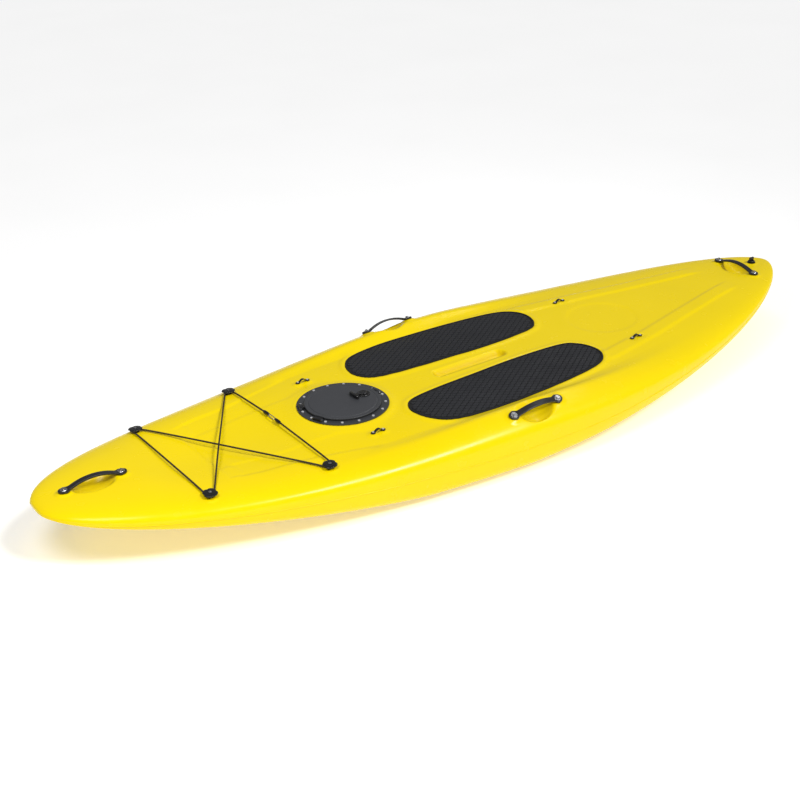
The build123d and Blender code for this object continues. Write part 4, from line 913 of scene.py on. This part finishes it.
def strap_grid(seat, spacing, lug_radius, width, thickness, height, steps=120, around=28):
    """A rounded band: round at the lugs, width in between, rising as (1 - |a/span|^2.1)^1.12 over the gap.
    The half width passes from lug to band as soft * log(exp(lug / soft) + exp(band / soft)).
    """
    reach = spacing / 2 + lug_radius
    a = reach * np.sin(np.linspace(-1, 1, steps) * np.pi / 2)
    outside = np.abs(a) > spacing / 2
    lug = np.sqrt(np.clip(lug_radius ** 2 - (np.abs(a) - spacing / 2) ** 2, 0, None))
    band = np.where(outside, 0, width / 2)
    soft = 0.003 if lug_radius > 0.015 else 0.001
    half = soft * np.log(np.exp(lug / soft) + np.exp(band / soft)) - soft * np.log(2) * outside
    half = np.clip(np.minimum(half, np.where(outside, lug, half)), 1e-5, None)
    span = spacing / 2 - lug_radius * 0.55
    rise = (height - thickness) * np.clip(1 - np.abs(a / span) ** 2.1, 0, 1) ** 1.12
    b, c = squarish(round_steps(around), 5)
    thin = np.minimum(1, half / (lug_radius * 0.3)) ** 0.5
    middle = rise + thickness / 2
    return seat.at(np.broadcast_to(a[:, None], (steps, around)), half[:, None] * b,
                   middle[:, None] + thickness / 2 * thin[:, None] * c)


strap_looks = ("hull", "strap_rubber", strap_rubber)
for name, seat in handle_seats.items():
    strap = strap_grid(seat, HANDLE_SPACING, LUG_RADIUS, STRAP_WIDTH, STRAP_THICKNESS, STRAP_HEIGHT)
    add_piece(name + "_strap", strap, strap_looks, name, close_v=True, sharp=60)
for name, seat in eye_seats.items():
    eye = strap_grid(seat, EYE_SPACING, EYE_LUG_RADIUS, EYE_WIDTH, EYE_THICKNESS, EYE_HEIGHT, 80, 20)
    add_piece("eye_" + name, eye, nylon("hull"), "pad_eye_" + name, close_v=True, sharp=60)

# %% Cup washers
WASHER_RISE = 0.007
washer_profile = rounded([(0.0033, 0.0002), (0.0118, 0.0002), (0.012, 0.001), (0.0108, 0.0024),
                          (0.0088, 0.0026), (0.0066, 0.0014), (0.0033, 0.0017), (0.0033, 0.0002)], 0.0006)
washer_seats = [seat.shifted(end * HANDLE_SPACING, WASHER_RISE)
                for seat in handle_seats.values() for end in (-0.5, 0.5)]
for number, seat in enumerate(washer_seats):
    stands_for = ["handle_washers"] if number == 0 else []
    add_piece("cup_washer_%d" % number, turned(seat, washer_profile, 48), ("hull", "stainless", steel),
              *stands_for, close_u=True, sharp=50)

# %% [markdown]
# ## Bungee buttons and cord
# A button is a mushroom: a stem that the cord wraps and a domed cap over it, with four notches in its rim.
# The cord is one smooth spline led by its points, pulled tight round each stem and dipping under the caps.

# %% Buttons
NOTCH_DEPTH, NOTCHED_BEYOND = 0.0034, 0.016
button_profile = rounded([(0.0034, 0.0), (0.0125, 0.0), (0.0125, 0.0006), (0.0085, 0.0012), (0.0085, 0.0082),
                          (0.011, 0.0097), (0.0235, 0.01), (0.0244, 0.0112), (0.0235, 0.0132),
                          (0.0165, 0.0147), (0.0085, 0.015), (0.0062, 0.0146), (0.006, 0.0122),
                          (0.0034, 0.0121), (0.0034, 0.0)], 0.0009)
for name, seat in button_seats.items():
    button = turned(seat, button_profile, 96, NOTCH_DEPTH, NOTCHED_BEYOND)
    add_piece("button_" + name, button, nylon("hull"), "bungee_button_" + name, close_u=True, sharp=50)

# %% Bungee cord
CORD_DIAMETER, CORD_LENGTH = 0.006, 2.654
route = [
    (0.751, -0.122, 0.207), (0.758, -0.284, 0.2075), (0.7587, -0.3262, 0.2023), (0.759, -0.3443, 0.2001),
    (0.7762, -0.3494, 0.1994), (0.7855, -0.334, 0.2012), (0.8084, -0.2964, 0.2055), (0.964, -0.039, 0.2156),
    (1.012, 0.039, 0.2159), (1.1257, 0.2274, 0.21), (1.1485, 0.265, 0.206), (1.1578, 0.2804, 0.2043),
    (1.175, 0.2753, 0.2047), (1.175, 0.2575, 0.207), (1.175, 0.22, 0.2118), (1.175, -0.22, 0.2118),
    (1.175, -0.2575, 0.207), (1.175, -0.2753, 0.2047), (1.1578, -0.2804, 0.2043), (1.1485, -0.265, 0.206),
    (1.1257, -0.2274, 0.2099), (0.8084, 0.2964, 0.2052), (0.7855, 0.334, 0.2012), (0.7762, 0.3494, 0.1994),
    (0.759, 0.3443, 0.2001), (0.7587, 0.3262, 0.2023), (0.758, 0.284, 0.2075), (0.751, -0.008, 0.207)]
curve = bpy.data.curves.new("bungee", "CURVE")
curve.dimensions = "3D"
spline = curve.splines.new("NURBS")
spline.points.add(len(route) - 1)
for point, place_on_route in zip(spline.points, route):
    point.co = (*place_on_route, 1)
spline.order_u = 3
spline.use_endpoint_u = True
spline.resolution_u = 12
curve.bevel_depth = CORD_DIAMETER / 2
curve.bevel_resolution = 5
bungee = add_object("bungee", curve)
place(bungee, "hull", "bungee", braid, "bungee_cord")

# %% Joiner
SLEEVE_LENGTH, SLEEVE_TWIST = 0.036, 0.01
LINK_HALF_LENGTH, LINK_HALF_WIDTH, LINK_WIRE = 0.0195, 0.0055, 0.0015
sleeve_profile = rounded([(0, 0), (0.0036, 0), (0.0042, 0.0016), (0.0058, 0.008), (0.0062, 0.018),
                          (0.0058, 0.028), (0.0044, 0.0345), (0.003, SLEEVE_LENGTH), (0, SLEEVE_LENGTH)],
                         0.0016)
for word, end, beside in (("starboard", *route[:2]), ("port", *route[:-3:-1])):
    sleeve_seat = Seat(end, (1, 0, SLEEVE_TWIST), unit(np.array(end) - np.array(beside)))
    add_piece("sleeve_" + word, turned(sleeve_seat, sleeve_profile, 32), nylon("hull"),
                             "bungee_sleeve_" + word, close_u=True, sharp=50)
link_middle = (np.array(route[0]) + np.array(route[-1])) / 2
turn, tube = round_steps(72)[:, None], round_steps(14)[None, :]
ring_radius = LINK_HALF_WIDTH + LINK_WIRE * np.cos(tube)
link_x = ring_radius * np.cos(turn)
link_y = ring_radius * np.sin(turn) + (LINK_HALF_LENGTH - LINK_HALF_WIDTH) * np.sign(np.sin(turn))
link_z = np.broadcast_to(LINK_WIRE * np.sin(tube), link_x.shape)
link = add_piece("hog_link", link_middle + np.stack([link_x, link_y, link_z], -1),
                 ("hull", "stainless", steel), "bungee_link", close_u=True, close_v=True)

# %% [markdown]
# ## The drain plug
# A small wing knob over a rubber seal. The wing is a flat paddle with rounded edges, so that fingers can turn
# it, on a round head.

# %% Drain plug
WING_HALF_THICKNESS, WING_EDGE = 0.003, 0.0012
plug_profile = rounded([(0, -0.015), (0.007, -0.015), (0.008, -0.014), (0.008, 0.0053), (0.0138, 0.0053),
                        (0.014, 0.008), (0.012, 0.0098), (0, 0.01)], 0.001)
add_piece("plug_head", turned(drain_seat, plug_profile, 56), nylon("plug"), "drain_plug",
          close_u=True, sharp=45)
wing_outline = rounded([(-0.0105, 0.0088), (-0.0138, 0.0185), (-0.0105, 0.0234), (0.0105, 0.0234),
                        (0.0138, 0.0185), (0.0105, 0.0088), (-0.0105, 0.0088)], 0.004, 6)
wing = carried_profile(drain_seat, wing_outline, WING_HALF_THICKNESS, WING_EDGE)
add_piece("plug_wing", wing, nylon("plug"), close_v=True, sharp=45)
